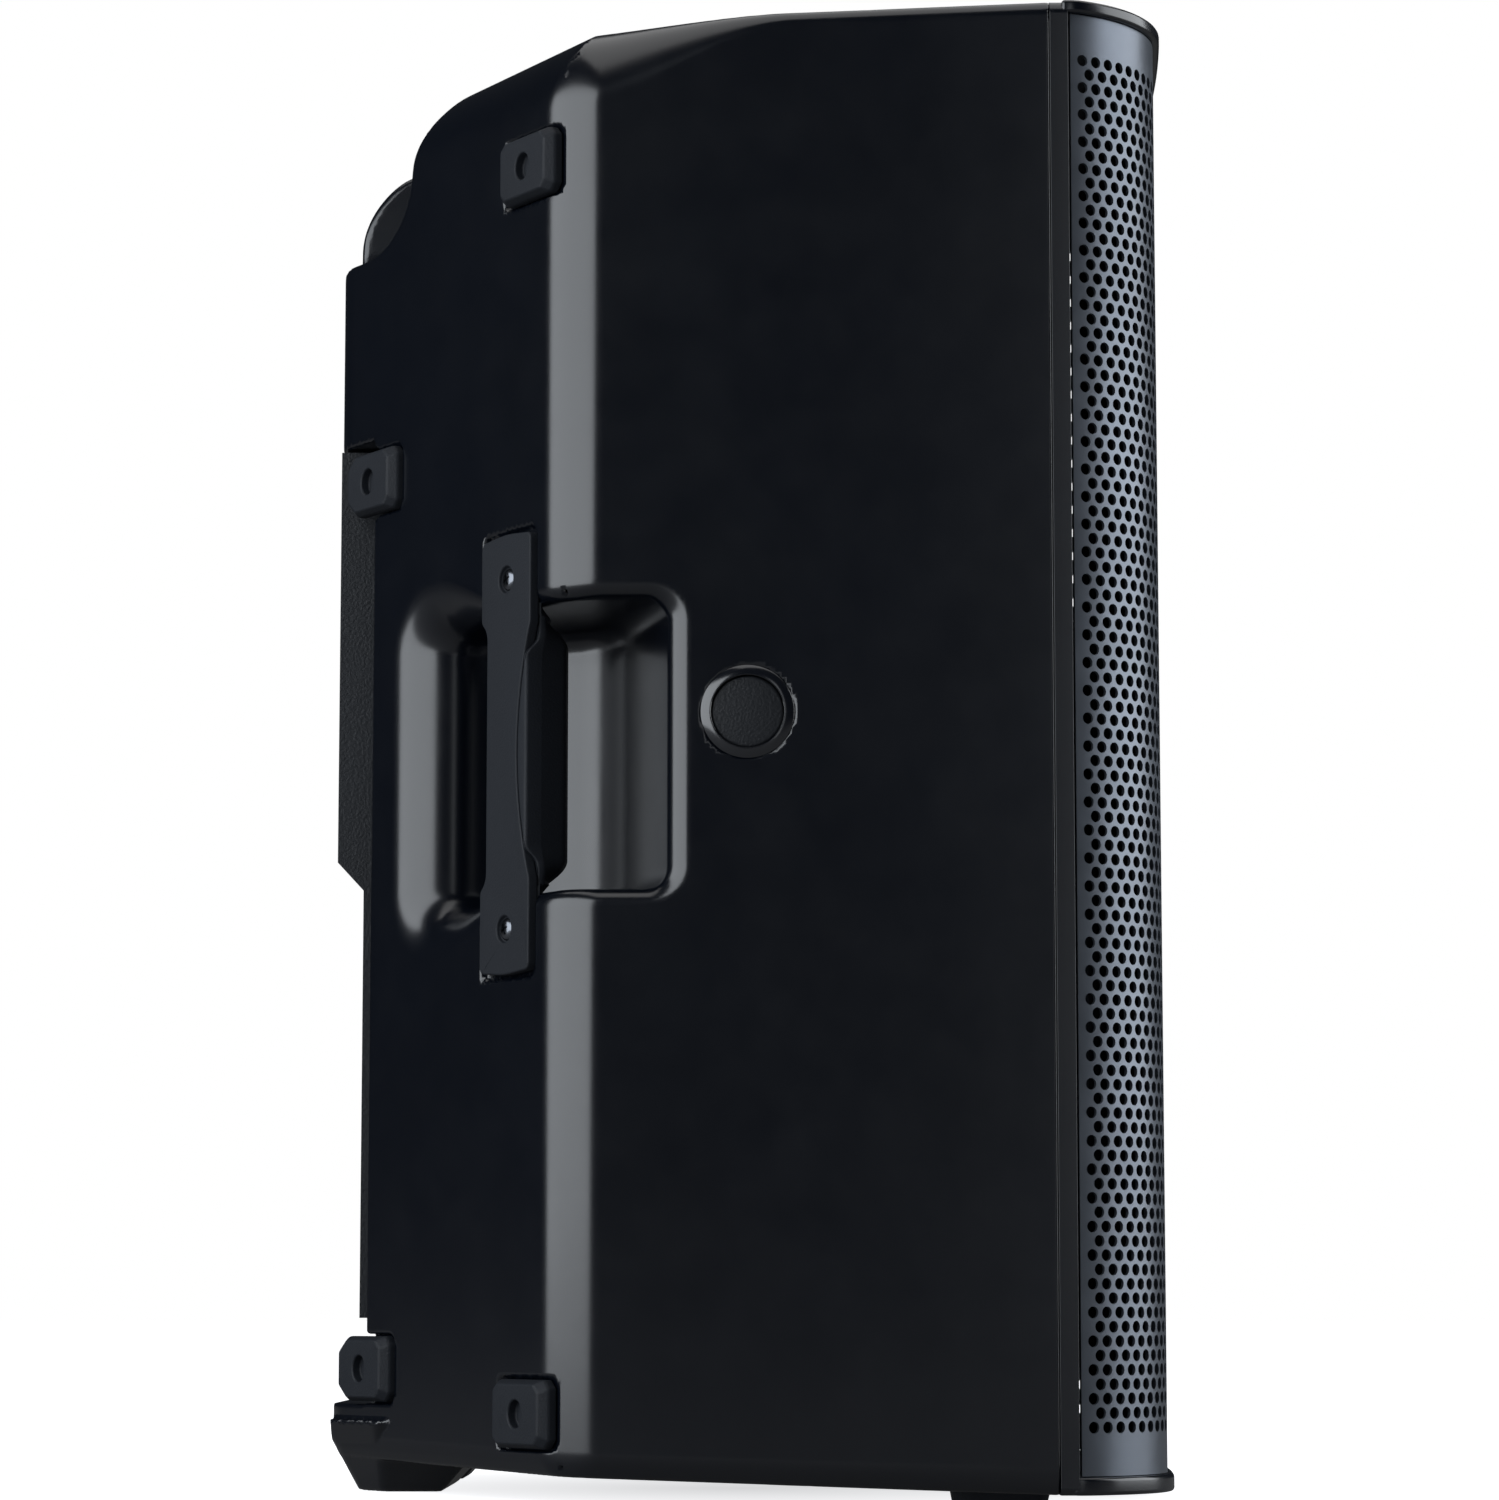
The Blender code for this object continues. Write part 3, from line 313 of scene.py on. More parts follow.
def lathe(name, profile, matrix, steps=64):
    """A profile of (radius, height) turned about the placement's third axis."""
    points, faces = [], []
    rows = []
    for radius, height in profile:
        if radius <= 0:
            rows.append([len(points)])
            points.append((0.0, 0.0, height))
            continue
        rows.append(list(range(len(points), len(points) + steps)))
        for step in range(steps):
            angle = 2 * math.pi * step / steps
            points.append((radius * math.cos(angle), radius * math.sin(angle), height))
    pairs = list(zip(rows, rows[1:]))
    if profile[0][0] > 0 and profile[-1][0] > 0:
        pairs.append((rows[-1], rows[0]))
    for upper, lower in pairs:
        for step in range(steps):
            after = (step + 1) % steps
            corners = [
                upper[step % len(upper)], upper[after % len(upper)],
                lower[after % len(lower)], lower[step % len(lower)],
            ]
            face = tuple(dict.fromkeys(corners))
            if len(face) > 2:
                faces.append(face)
    obj = mesh_object(name, points, faces, matrix)
    turn_outwards(obj)
    return obj


# The shell as a distance field: negative inside, in millimetres


def round_meet(a, b, radius):
    """Both at once, with the edge between them rounded."""
    inner = np.minimum(np.maximum(a, b), -radius)
    return inner + np.hypot(np.maximum(a + radius, 0), np.maximum(b + radius, 0))


def easing(low, high, value):
    t = np.clip((value - low) / (high - low), 0, 1)
    return t * t * (3 - 2 * t)


def half_plane(x, y, start, end):
    """Distance outside the line from start to end, with the cabinet on its right."""
    run = (end - start) / np.linalg.norm(end - start)
    return (x - start[0]) * -run[1] + (y - start[1]) * run[0]


def block(u, v, half_u, half_v, radius):
    """Distance to a rectangle with rounded corners."""
    du = np.abs(u) - half_u + radius
    dv = np.abs(v) - half_v + radius
    return np.hypot(np.maximum(du, 0), np.maximum(dv, 0)) + np.minimum(np.maximum(du, dv), 0) - radius


RIDGE_ROUND = 12.0
REAR_ROUND = 5.0
FAR_ROUND = 8.0
TOP_ROUND = 36.0
SIDE_TOP_ROUND = 6.0
TOP_ROUND_REACH = (-75.0, -2.0)
SKIRT_SLOPE = 0.54
CREASE_HEIGHT = 7.0
CREASE_RISE = 0.032
UNDERSIDE_ROUND = 1.5

FOOT_SPANS = ((132.0, 240.0), (273.0, 330.0))
FOOT_FRONT = 242.0
FOOT_TOP = 30.0
FOOT_LEAN = 0.9
FOOT_LEAN_HEIGHT = 9.0
FOOT_SKIRT_HEIGHT = 17.0


def outer_form(x, y, z):
    """The cabinet without its pockets: a tapering prism that runs on past the front."""
    left = half_plane(x, y, LEFT_FRONT, RIDGE)
    slant = half_plane(x, y, RIDGE, EAR)
    rear = y - REAR
    far = half_plane(x, y, FAR_REAR, FAR_SIDE)
    right = half_plane(x, y, FAR_SIDE, RIGHT_FRONT)
    plan = round_meet(left, slant, RIDGE_ROUND)
    plan = round_meet(plan, rear, REAR_ROUND)
    plan = round_meet(plan, far, FAR_ROUND)
    plan = round_meet(plan, right, RIDGE_ROUND)
    behind = np.maximum(np.maximum(slant, rear), far)
    radius = SIDE_TOP_ROUND + (TOP_ROUND - SIDE_TOP_ROUND) * easing(*TOP_ROUND_REACH, behind)
    ceiling = z - (TOP - TAPER * (y - SEAM))
    body = round_meet(plan, ceiling, radius)
    crease = BASE + CREASE_HEIGHT + CREASE_RISE * (y - SEAM)
    skirt = (plan + SKIRT_SLOPE * (crease - z)) / math.hypot(1, SKIRT_SLOPE)
    body = round_meet(body, skirt, UNDERSIDE_ROUND)
    floor = BASE + TAPER * (y - SEAM) - z
    body = round_meet(body, floor, UNDERSIDE_ROUND)
    return rear_feet(x, y, z, slant, rear, far, body)


def rear_feet(x, y, z, slant, rear, far, body):
    """Two wedges under the rear, whose outer sides carry the skirt's slope down to the floor."""
    sole = SHELL_LOW[2] - z
    slope = SKIRT_SLOPE * (BASE + FOOT_SKIRT_HEIGHT - z)
    lean = FOOT_LEAN * (FOOT_LEAN_HEIGHT - z)
    for start, end in FOOT_SPANS:
        across = np.maximum((LEFT + start) + lean - x, x - (LEFT + end) + lean)
        wedge = np.maximum(across, (SEAM + FOOT_FRONT) + lean - y)
        wedge = round_meet(wedge, rear + slope, 2.0)
        wedge = round_meet(wedge, slant + slope, 2.0)
        wedge = round_meet(wedge, far + slope, 2.0)
        wedge = round_meet(wedge, sole, 1.0)
        wedge = np.maximum(wedge, z - FOOT_TOP)
        body = np.minimum(body, wedge)
    return body


# The side hand pocket's corners in plan, from its mouth at the side to its mouth in the slanting face
POCKET_PLAN = [
    np.array([LEFT + across, SEAM + back])
    for across, back in ((-60.0, 134.8), (93.0, 175.8), (116.0, 218.8), (81.0, 289.8))
]
POCKET_ENDS = (33.0, 32.0)
POCKET_FRONT_ROUND = 13.0
POCKET_BACK_ROUND = 16.0
POCKET_END_ROUND = 9.0
RIM_ROUND = 7.0
RIM_ROUND_GAIN = 16.0
RIM_GAIN_PLACE = 70.0

TOP_POCKET_SPAN = (107.0, 240.0)
TOP_POCKET_DEPTH = 74.5
TOP_POCKET_FRONT = 141.8
TOP_POCKET_ROUND = 32.0
TOP_POCKET_FRONT_ROUND = 12.0

RECESS_CLEARANCE = 1.0
RECESS_LOW = 36.8
RECESS_STEP = 22.0
RECESS_ROUND = 2.0

SEAT_DEPTH = 3.0
SEAT_ROUND = 4.0
STRAP_SEAT = (20.0, 91.5)
BUMPER_SEAT = (21.0, 14.4)
REAR_SEAT = (41.2, 14.4)
REAR_SEAT_SHIFT = 20.0
MOUNT_HOLE_RADIUS = 17.9
MOUNT_HOLE_DEPTH = 8.0


def hollows(x, y, z):
    """The side hand pocket, the radius of its rim, and the top hand pocket."""
    low_z, high_z = STRAP_LOW[2] + POCKET_ENDS[0], STRAP_HIGH[2] - POCKET_ENDS[1]
    front, floor, back = [half_plane(x, y, start, end) for start, end in zip(POCKET_PLAN, POCKET_PLAN[1:])]
    pocket = round_meet(-front, -floor, POCKET_FRONT_ROUND)
    pocket = round_meet(pocket, -back, POCKET_BACK_ROUND)
    height = np.abs(z - (low_z + high_z) / 2) - (high_z - low_z) / 2
    pocket = round_meet(pocket, height, POCKET_END_ROUND)
    beyond = (x - LEFT) * SLANT[0] + (y - RIDGE[1]) * SLANT[1] - RIM_GAIN_PLACE
    rim = RIM_ROUND + RIM_ROUND_GAIN * easing(-20.0, 30.0, beyond)
    low_x, high_x = LEFT + TOP_POCKET_SPAN[0], LEFT + TOP_POCKET_SPAN[1]
    bottom = TOP - TOP_POCKET_DEPTH - z
    across = np.abs(x - (low_x + high_x) / 2) - (high_x - low_x) / 2
    top_pocket = round_meet(across, bottom, TOP_POCKET_ROUND)
    top_pocket = round_meet(top_pocket, SEAM + TOP_POCKET_FRONT - y, TOP_POCKET_FRONT_ROUND)
    return pocket, rim, top_pocket


def amp_recess(x, y, z):
    """The amplifier's recess, with an open step beside it that runs out under the rear bumpers."""
    low_x, high_x = CHASSIS_LOW[0] - RECESS_CLEARANCE, CHASSIS_HIGH[0] + RECESS_CLEARANCE
    low_z, high_z = SHELL_LOW[2] + RECESS_LOW, CHASSIS_HIGH[2] + RECESS_CLEARANCE
    half_z = (high_z - low_z) / 2
    up = z - (low_z + high_z) / 2
    main = block(x - (low_x + high_x) / 2, up, (high_x - low_x) / 2, half_z, RECESS_ROUND)
    step = block(x - low_x, up, RECESS_STEP, half_z, RECESS_ROUND)
    return np.maximum(np.minimum(main, step), CHASSIS_LOW[1] - 0.3 - y)


def seats(x, y, z):
    """The seats of the straps and bumpers, and the mount's hole. A rear bumper's seat is open behind."""
    along = (x - RIDGE[0]) * SLANT[0] + (y - RIDGE[1]) * SLANT[1]
    depth = half_plane(x, y, RIDGE, EAR)
    strap = middle("side_handle_strap")
    strap_along = (strap[:2] - RIDGE) @ SLANT
    sunk = np.maximum(block(along - strap_along, z - strap[2], *STRAP_SEAT, SEAT_ROUND), -SEAT_DEPTH - depth)
    for name in BUMPERS:
        spot = middle(name)
        spot_along = (spot[:2] - RIDGE) @ SLANT
        if name.endswith("rear"):
            seat = block(along - spot_along - REAR_SEAT_SHIFT, z - spot[2], *REAR_SEAT, SEAT_ROUND)
        else:
            seat = block(along - spot_along, z - spot[2], *BUMPER_SEAT, SEAT_ROUND)
        sunk = np.minimum(sunk, np.maximum(seat, -SEAT_DEPTH - depth))
    top = middle("top_handle_strap")
    ceiling = z - (TOP - TAPER * (y - SEAM))
    top_seat = block(x - top[0], y - top[1], *STRAP_SEAT[::-1], SEAT_ROUND)
    sunk = np.minimum(sunk, np.maximum(top_seat, -SEAT_DEPTH - ceiling))
    mount = middle("mount_ring")
    side = half_plane(x, y, LEFT_FRONT, RIDGE)
    run = (x - LEFT_FRONT[0]) * SIDE[0] + (y - LEFT_FRONT[1]) * SIDE[1]
    reach = (mount[:2] - LEFT_FRONT) @ SIDE
    hole = np.hypot(run - reach, z - mount[2]) - MOUNT_HOLE_RADIUS
    return np.minimum(sunk, np.maximum(hole, -MOUNT_HOLE_DEPTH - side))


POLE_HOLE_RADIUS = 23.0
POLE_HOLE_TOP = 60.0
WALL = 4.0


def skin(x, y, z):
    """The cabinet's outside as if it were solid and ran on past the front."""
    body = outer_form(x, y, z)
    pocket, rim, top_pocket = hollows(x, y, z)
    body = round_meet(body, -pocket, rim)
    body = round_meet(body, -top_pocket, 3.0)
    body = round_meet(body, -amp_recess(x, y, z), 1.2)
    body = round_meet(body, -seats(x, y, z), 0.8)
    pole = middle("pole_cup")
    socket = np.maximum(np.hypot(x - pole[0], y - pole[1]) - POLE_HOLE_RADIUS, z - POLE_HOLE_TOP)
    return np.maximum(body, -socket)


def shell_field(x, y, z):
    """The wall between the skin and an offset of it, open at the seam and behind the amplifier's chassis."""
    outside = skin(x, y, z)
    wall = np.maximum(outside, -(outside + WALL))
    low_x, high_x = CHASSIS_LOW[0] + 5.0, CHASSIS_HIGH[0] - 16.0
    low_z, high_z = CHASSIS_LOW[2] + 18.0, CHASSIS_HIGH[2] - 20.0
    across, up = x - (low_x + high_x) / 2, z - (low_z + high_z) / 2
    opening = block(across, up, (high_x - low_x) / 2, (high_z - low_z) / 2, 3.0)
    opening = np.maximum(opening, np.abs(y - CHASSIS_LOW[1]) - 20.0)
    wall = np.maximum(wall, -opening)
    return np.maximum(wall, SEAM - y)


def grid_lines(low, high, step, fine=()):
    """Grid positions a step apart, with closer ones round each place in fine."""
    lines = list(np.arange(low - 2.2 * step, high + 2.2 * step, step))
    for place in fine:
        lines = [line for line in lines if abs(line - place) > 1.6 * step]
        lines += [place + offset * step for offset in (-1.5, -1.0, -0.6, -0.25, 0.1, 0.45, 0.8, 1.2, 1.6)]
    return np.array(sorted(lines), np.float32)


def surface_net(field, lines):
    """Points, quads and normals of the field's zero surface: one point in each cell that it crosses."""
    xs, ys, zs = lines
    value = np.empty((len(xs), len(ys), len(zs)), np.float32)
    for index, x in enumerate(xs):
        value[index] = field(np.float32(x), ys[:, None], zs[None, :])
    inside = value < 0
    shape = value.shape
    keys, crossings, quads = [], [], []
    for axis in range(3):
        low = [slice(None)] * 3
        high = [slice(None)] * 3
        low[axis], high[axis] = slice(None, -1), slice(1, None)
        start = np.argwhere(inside[tuple(low)] != inside[tuple(high)])
        end = start.copy()
        end[:, axis] += 1
        first = value[tuple(start.T)]
        second = value[tuple(end.T)]
        share = (first / (first - second))[:, None]
        place = np.stack([lines[k][start[:, k]] for k in range(3)], 1)
        place_end = np.stack([lines[k][end[:, k]] for k in range(3)], 1)
        crossing = place + (place_end - place) * share
        b, c = (axis + 1) % 3, (axis + 2) % 3
        corners = []
        for back_b, back_c in ((0, 0), (1, 0), (1, 1), (0, 1)):
            cell = start.copy()
            cell[:, b] -= back_b
            cell[:, c] -= back_c
            corners.append(np.ravel_multi_index(tuple(cell.T), shape))
        quad = np.stack(corners, 1)
        outwards = first < 0
        quad[~outwards] = quad[~outwards][:, ::-1]
        quads.append(quad)
        for column in range(4):
            keys.append(quad[:, column])
            crossings.append(crossing)
    cells, index = np.unique(np.concatenate(keys), return_inverse=True)
    crossings = np.concatenate(crossings)
    count = np.bincount(index, minlength=len(cells))
    points = np.stack([np.bincount(index, crossings[:, k]) / count for k in range(3)], 1)
    quads = np.searchsorted(cells, np.concatenate(quads))
    for reach in (1.4, 1.4, 1.0, 0.6):
        points = relaxed(points, quads)
        for _ in range(2):
            distance, slope = sample(field, points, reach)
            length = np.maximum((slope**2).sum(1), 0.3)[:, None]
            points = points - np.clip(distance[:, None] * slope / length, -1.5, 1.5)
    _, slope = sample(field, points, 0.8)
    normals = slope / np.maximum(np.linalg.norm(slope, axis=1), 1e-6)[:, None]
    return points, quads, normals


def relaxed(points, quads):
    """Each point moved halfway to the middle of its neighbours."""
    starts = quads.ravel()
    ends = np.roll(quads, -1, 1).ravel()
    both = np.concatenate([starts, ends])
    others = np.concatenate([ends, starts])
    count = np.bincount(both, minlength=len(points))
    middles = [np.bincount(both, points[others, k], len(points)) / count for k in range(3)]
    return points * 0.5 + np.stack(middles, 1) * 0.5


def sample(field, points, reach):
    """The field's value and slope at each point, the slope taken over twice the reach."""
    x, y, z = points.T
    slope = np.stack(
        [
            field(x + reach, y, z) - field(x - reach, y, z),
            field(x, y + reach, z) - field(x, y - reach, z),
            field(x, y, z + reach) - field(x, y, z - reach),
        ],
        1,
    ) / (2 * reach)
    return field(x, y, z), slope


def build_shell():
    """The shell's mesh, lit by the field's slope except where that disagrees with the faces round a point."""
    step = 2.1
    foot_crease, recess_foot, seat_top = 20.6, 37.0, 65.9
    lines = (
        grid_lines(SHELL_LOW[0], SHELL_HIGH[0], step),
        grid_lines(SHELL_LOW[1], SHELL_HIGH[1], step, (SEAM,)),
        grid_lines(SHELL_LOW[2], SHELL_HIGH[2], step, (foot_crease, recess_foot, seat_top)),
    )
    points, quads, normals = surface_net(shell_field, lines)
    points = np.clip(points, SHELL_LOW, SHELL_HIGH)
    mesh = bpy.data.meshes.new("shell")
    mesh.vertices.add(len(points))
    mesh.vertices.foreach_set("co", (points * MM).ravel())
    mesh.loops.add(quads.size)
    mesh.loops.foreach_set("vertex_index", quads.ravel())
    mesh.polygons.add(len(quads))
    mesh.polygons.foreach_set("loop_start", np.arange(0, quads.size, 4))
    mesh.update()
    mesh.validate()
    mesh.shade_smooth()
    averaged = np.empty(points.size)
    mesh.vertices.foreach_get("normal", averaged)
    averaged = averaged.reshape(-1, 3)
    doubtful = np.sum(normals * averaged, axis=1) < 0.93
    normals[doubtful] = averaged[doubtful]
    mesh.normals_split_custom_set_from_vertices([tuple(normal) for normal in normals])
    obj = bpy.data.objects.new("shell", mesh)
    bpy.context.scene.collection.objects.link(obj)
    return dress(obj, "moulded_black", instead_of=("rear_shell",))


# Grille


GRILLE_CORNER = 58.0
GRILLE_FRONT = 1430.0
GRILLE_START_ANGLE = math.radians(20)
GRILLE_CORNER_ANGLE = math.radians(85)
SHEET = 1.5
HOLE_RADIUS = 2.35
HOLE_PITCH = 6.44
ROW_SPACING = 5.57
PLAIN_MARGIN = 16.0
SIDE_MARGIN = 2.2


def grille_path():
    """Points along the grille's outer line from the left corner to the right, and their directions."""
    x, y = GRILLE_LOW[0], GRILLE_HIGH[1] - 0.5
    points, angles = [], []
    for angle in np.linspace(GRILLE_START_ANGLE, GRILLE_CORNER_ANGLE, 60):
        points.append((x + GRILLE_CORNER * (math.cos(GRILLE_START_ANGLE) - math.cos(angle)),
                       y - GRILLE_CORNER * (math.sin(angle) - math.sin(GRILLE_START_ANGLE))))
        angles.append(angle)
    x, y = points[-1]
    for angle in np.linspace(GRILLE_CORNER_ANGLE, math.pi / 2, 40)[1:]:
        across = x + GRILLE_FRONT * (math.cos(GRILLE_CORNER_ANGLE) - math.cos(angle))
        if across >= 0:
            break
        points.append((across, y - GRILLE_FRONT * (math.sin(angle) - math.sin(GRILLE_CORNER_ANGLE))))
        angles.append(angle)
    points.append((0.0, points[-1][1] - 0.02))
    angles.append(math.pi / 2)
    left = np.array(points)
    angles = np.array(angles)
    right = left[:-1][::-1] * [-1, 1]
    path = np.concatenate([left, right])
    turns = np.concatenate([angles, math.pi - angles[:-1][::-1]])
    return path, turns


def build_grille():
    """The perforated sheet: one brick-bonded tile of plain metal round each hole, bent along the path."""
    path, turns = grille_path()
    run = np.concatenate([[0], np.cumsum(np.linalg.norm(np.diff(path, axis=0), axis=1))])
    path[:, 1] = np.maximum(path[:, 1], GRILLE_LOW[1])
    length = run[-1]
    columns = int((length - 2 * SIDE_MARGIN) / HOLE_PITCH)
    pitch = (length - 2 * SIDE_MARGIN) / columns
    low_z, high_z = GRILLE_LOW[2], GRILLE_HIGH[2]
    rows = int((high_z - low_z - 2 * PLAIN_MARGIN) / ROW_SPACING)
    spacing = (high_z - low_z - 2 * PLAIN_MARGIN) / rows
    flat, faces, known = [], [], {}

    def vertex(s, z):
        key = (round(s, 3), round(z, 3))
        if key not in known:
            known[key] = len(flat)
            flat.append((s, z))
        return known[key]

    sides = 16
    ring = [(math.cos(2 * math.pi * k / sides), math.sin(2 * math.pi * k / sides)) for k in range(sides)]
    halves = [SIDE_MARGIN + pitch * k / 2 for k in range(1, 2 * columns)]
    ends = [0.0, SIDE_MARGIN] + halves + [length - SIDE_MARGIN, length]
    first_z = low_z + PLAIN_MARGIN
    for row in range(rows):
        bottom = first_z + spacing * row
        top, centre = bottom + spacing, bottom + spacing / 2
        shift = row % 2
        for column in range(columns - shift):
            start = SIDE_MARGIN + pitch * (column + shift / 2)
            half = start + pitch / 2
            end = start + pitch
            edge = [
                vertex(end, centre), vertex(end, top), vertex(half, top), vertex(start, top),
                vertex(start, centre), vertex(start, bottom), vertex(half, bottom), vertex(end, bottom),
            ]
            hole = [vertex(half + HOLE_RADIUS * u, centre + HOLE_RADIUS * v) for u, v in ring]
            for corner in range(8):
                faces.append((
                    edge[corner], edge[(corner + 1) % 8], hole[(2 * corner + 2) % sides],
                    hole[2 * corner + 1], hole[2 * corner],
                ))
        if shift:
            for start, end in ((SIDE_MARGIN, SIDE_MARGIN + pitch / 2),
                               (length - SIDE_MARGIN - pitch / 2, length - SIDE_MARGIN)):
                inner = [vertex(start, bottom), vertex(end, bottom), vertex(end, centre), vertex(end, top),
                         vertex(start, top), vertex(start, centre)]
                faces.append(tuple(inner))
        for start, end in ((0.0, SIDE_MARGIN), (length - SIDE_MARGIN, length)):
            faces.append((vertex(start, bottom), vertex(end, bottom), vertex(end, centre), vertex(end, top),
                          vertex(start, top), vertex(start, centre)))
    last_z = first_z + spacing * rows
    for bottom, top in ((low_z, first_z), (last_z, high_z)):
        for start, end in zip(ends, ends[1:]):
            faces.append((vertex(start, bottom), vertex(end, bottom), vertex(end, top), vertex(start, top)))
    flat = np.array(flat)
    x = np.interp(flat[:, 0], run, path[:, 0])
    y = np.interp(flat[:, 0], run, path[:, 1])
    angle = np.interp(flat[:, 0], run, turns)
    outer = np.stack([x, y, flat[:, 1]], 1)
    inner = outer + np.stack([np.cos(angle) * SHEET, np.sin(angle) * SHEET, np.zeros(len(angle))], 1)
    count = len(outer)
    inward_faces = [tuple(index + count for index in face[::-1]) for face in faces]
    borders = dict.fromkeys((a, b) for face in faces for a, b in zip(face, face[1:] + face[:1]))
    rims = [(b, a, a + count, b + count) for a, b in borders if (b, a) not in borders]
    points = np.concatenate([outer, inner])
    obj = mesh_object("grille_sheet", points, faces + inward_faces + rims)
    turn_outwards(obj)
    split_edges(obj)
    return dress(obj, "grille_paint", instead_of=("grille",))


# Handles, bumpers and the mount


STRAP_SCREW = 71.3
STRAP_END = 90.0
STRAP_HALF_PAD = 18.8
STRAP_HALF_WAIST = 14.4
WAIST_END = 51.0
WAIST_FRONT = 8.8
WAIST_CURVE = 0.0037
STRAP_FLOOR = -2.7
STRAP_FACE = 1.8

GRIP_TOP = -3.1
GRIP_END = 60.0
GRIP_DEPTH = 17.9
GRIP_END_DEPTH = 3.6
GRIP_LIP = 1.3
GRIP_HALF_WIDTH = 14.0

BUMPER_HEIGHTS = (-2.7, 1.2, 4.8)
BUMPER_HALVES = ((20.0, 13.5), (20.0, 13.5), (16.8, 11.8))
BUMPER_CUT = 3.4
REAR_BUMPER_CUT = 6.5


def strap_edge(u):
    """Half width of the strap on its front side: full at the pads, and a shallow arc over the pocket."""
    return min(STRAP_HALF_PAD, WAIST_FRONT + WAIST_CURVE * u * u)


def strap_outline():
    """A strap with broad pads, ends that arch slightly, and a waist cut mostly from its front."""
    shoulder, pad_start = STRAP_END - 1.6, WAIST_END + 4.0
    rear = [
        (-shoulder, STRAP_HALF_PAD, 3.0),
        (-pad_start, STRAP_HALF_PAD, 3.0),
        (-WAIST_END, STRAP_HALF_WAIST, 8.0),
        (WAIST_END, STRAP_HALF_WAIST, 8.0),
        (pad_start, STRAP_HALF_PAD, 3.0),
        (shoulder, STRAP_HALF_PAD, 3.0),
        (STRAP_END, 0.0, 60.0),
        (shoulder, -STRAP_HALF_PAD, 3.0),
    ]
    front = [(u, -strap_edge(u), 0) for u in np.linspace(52.0, -52.0, 27)]
    return rounded(rear + front + [(-shoulder, -STRAP_HALF_PAD, 3.0), (-STRAP_END, 0.0, 60.0)], 7)


def grip_section(u):
    """The grip across at u: flush beside the strap's waist, round underneath, flaring into the pads."""
    depth = GRIP_END_DEPTH + GRIP_DEPTH * (1 - float(easing(43.0, 60.5, abs(u)))) ** 0.8
    edge = strap_edge(u) + 0.35
    brim = max(15.8, min(edge + 1.2, 18.6))
    inner = min(edge, brim - 0.8)
    lip = GRIP_LIP if edge < 15.0 else GRIP_LIP - 4.2 * min((edge - 15.0) / 1.5, 1.0)
    low = -2.95 - depth
    if depth < 12:
        under = [(14.6, GRIP_TOP - depth * 0.5, 1.0), (10.0, low, 1.0), (-9.0, low, 1.0),
                 (-15.0, GRIP_TOP - depth * 0.7, 1.0)]
    else:
        under = [(14.6, low + 8.0, 5.0), (9.0, low, 6.0), (-7.0, low, 7.0), (-14.0, low + 6.0, 6.0)]
    brim_height = -6.0 if depth > 9 else -3.6
    front = [(-brim, brim_height, 3.0), (-brim + 0.4, lip, 1.5), (-inner, lip, 0.3), (-inner, GRIP_TOP, 0.1)]
    return rounded([(GRIP_HALF_WIDTH, GRIP_TOP, 0.8)] + under + front, 6)


def build_grip(prefix, matrix):
    stations = sorted({float(sign * u) for u in np.linspace(0, GRIP_END, 41) for sign in (-1, 1)})
    points, faces = [], []
    for u in stations:
        points += [(u, v, h) for v, h in grip_section(u)]
    count = len(points) // len(stations)
    for station in range(len(stations) - 1):
        low = station * count
        for index in range(count):
            following = (index + 1) % count
            faces.append((low + index, low + following, low + count + following, low + count + index))
    faces.append(tuple(range(count)))
    faces.append(tuple(range(len(points) - count, len(points))))
    grip = mesh_object(f"{prefix}_grip", points, faces, matrix)
    turn_outwards(grip)
    split_edges(grip, 40)
    dress(grip, "rubber", instead_of=(f"{prefix}_handle_grip",))


def build_screw(prefix, word, spot):
    """A domed head sunk in the strap, with a cross cut in it."""
    base = STRAP_FACE - 1.85
    profile = [(0, 1.75), (1.6, 1.72), (3.0, 1.45), (4.0, 0.95), (4.5, 0.4), (4.5, 0), (0, 0)]
    head = lathe(f"{prefix}_screw_{word}", [(radius, base + height) for radius, height in profile], spot, 48)
    bar = [(-2.3, -0.5), (2.3, -0.5), (2.3, 0.5), (-2.3, 0.5)]
    for turn in (0.4, 0.4 + math.pi / 2):
        carve(head, plate("slot", bar, base + 0.7, base + 4, spot @ Matrix.Rotation(turn, 4, "Z")))
    split_edges(head, 30)
    dress(head, "bright_steel", instead_of=(f"{prefix}_handle_screw_{word}",), look="screw_steel")


def build_strap(prefix, matrix):
    holes = [(sign * STRAP_SCREW, 0.0, 5.4, STRAP_FACE - 1.9) for sign in (-1, 1)]
    strap = plate(f"{prefix}_strap", strap_outline(), STRAP_FLOOR, STRAP_FACE, matrix, 0.8, 3, holes)
    dress(strap, "rubber", instead_of=(f"{prefix}_handle_strap",))
    build_grip(prefix, matrix)
    for sign, word in ((-1, "first"), (1, "second")):
        build_screw(prefix, word, matrix @ Matrix.Translation((sign * STRAP_SCREW * MM, 0, 0)))


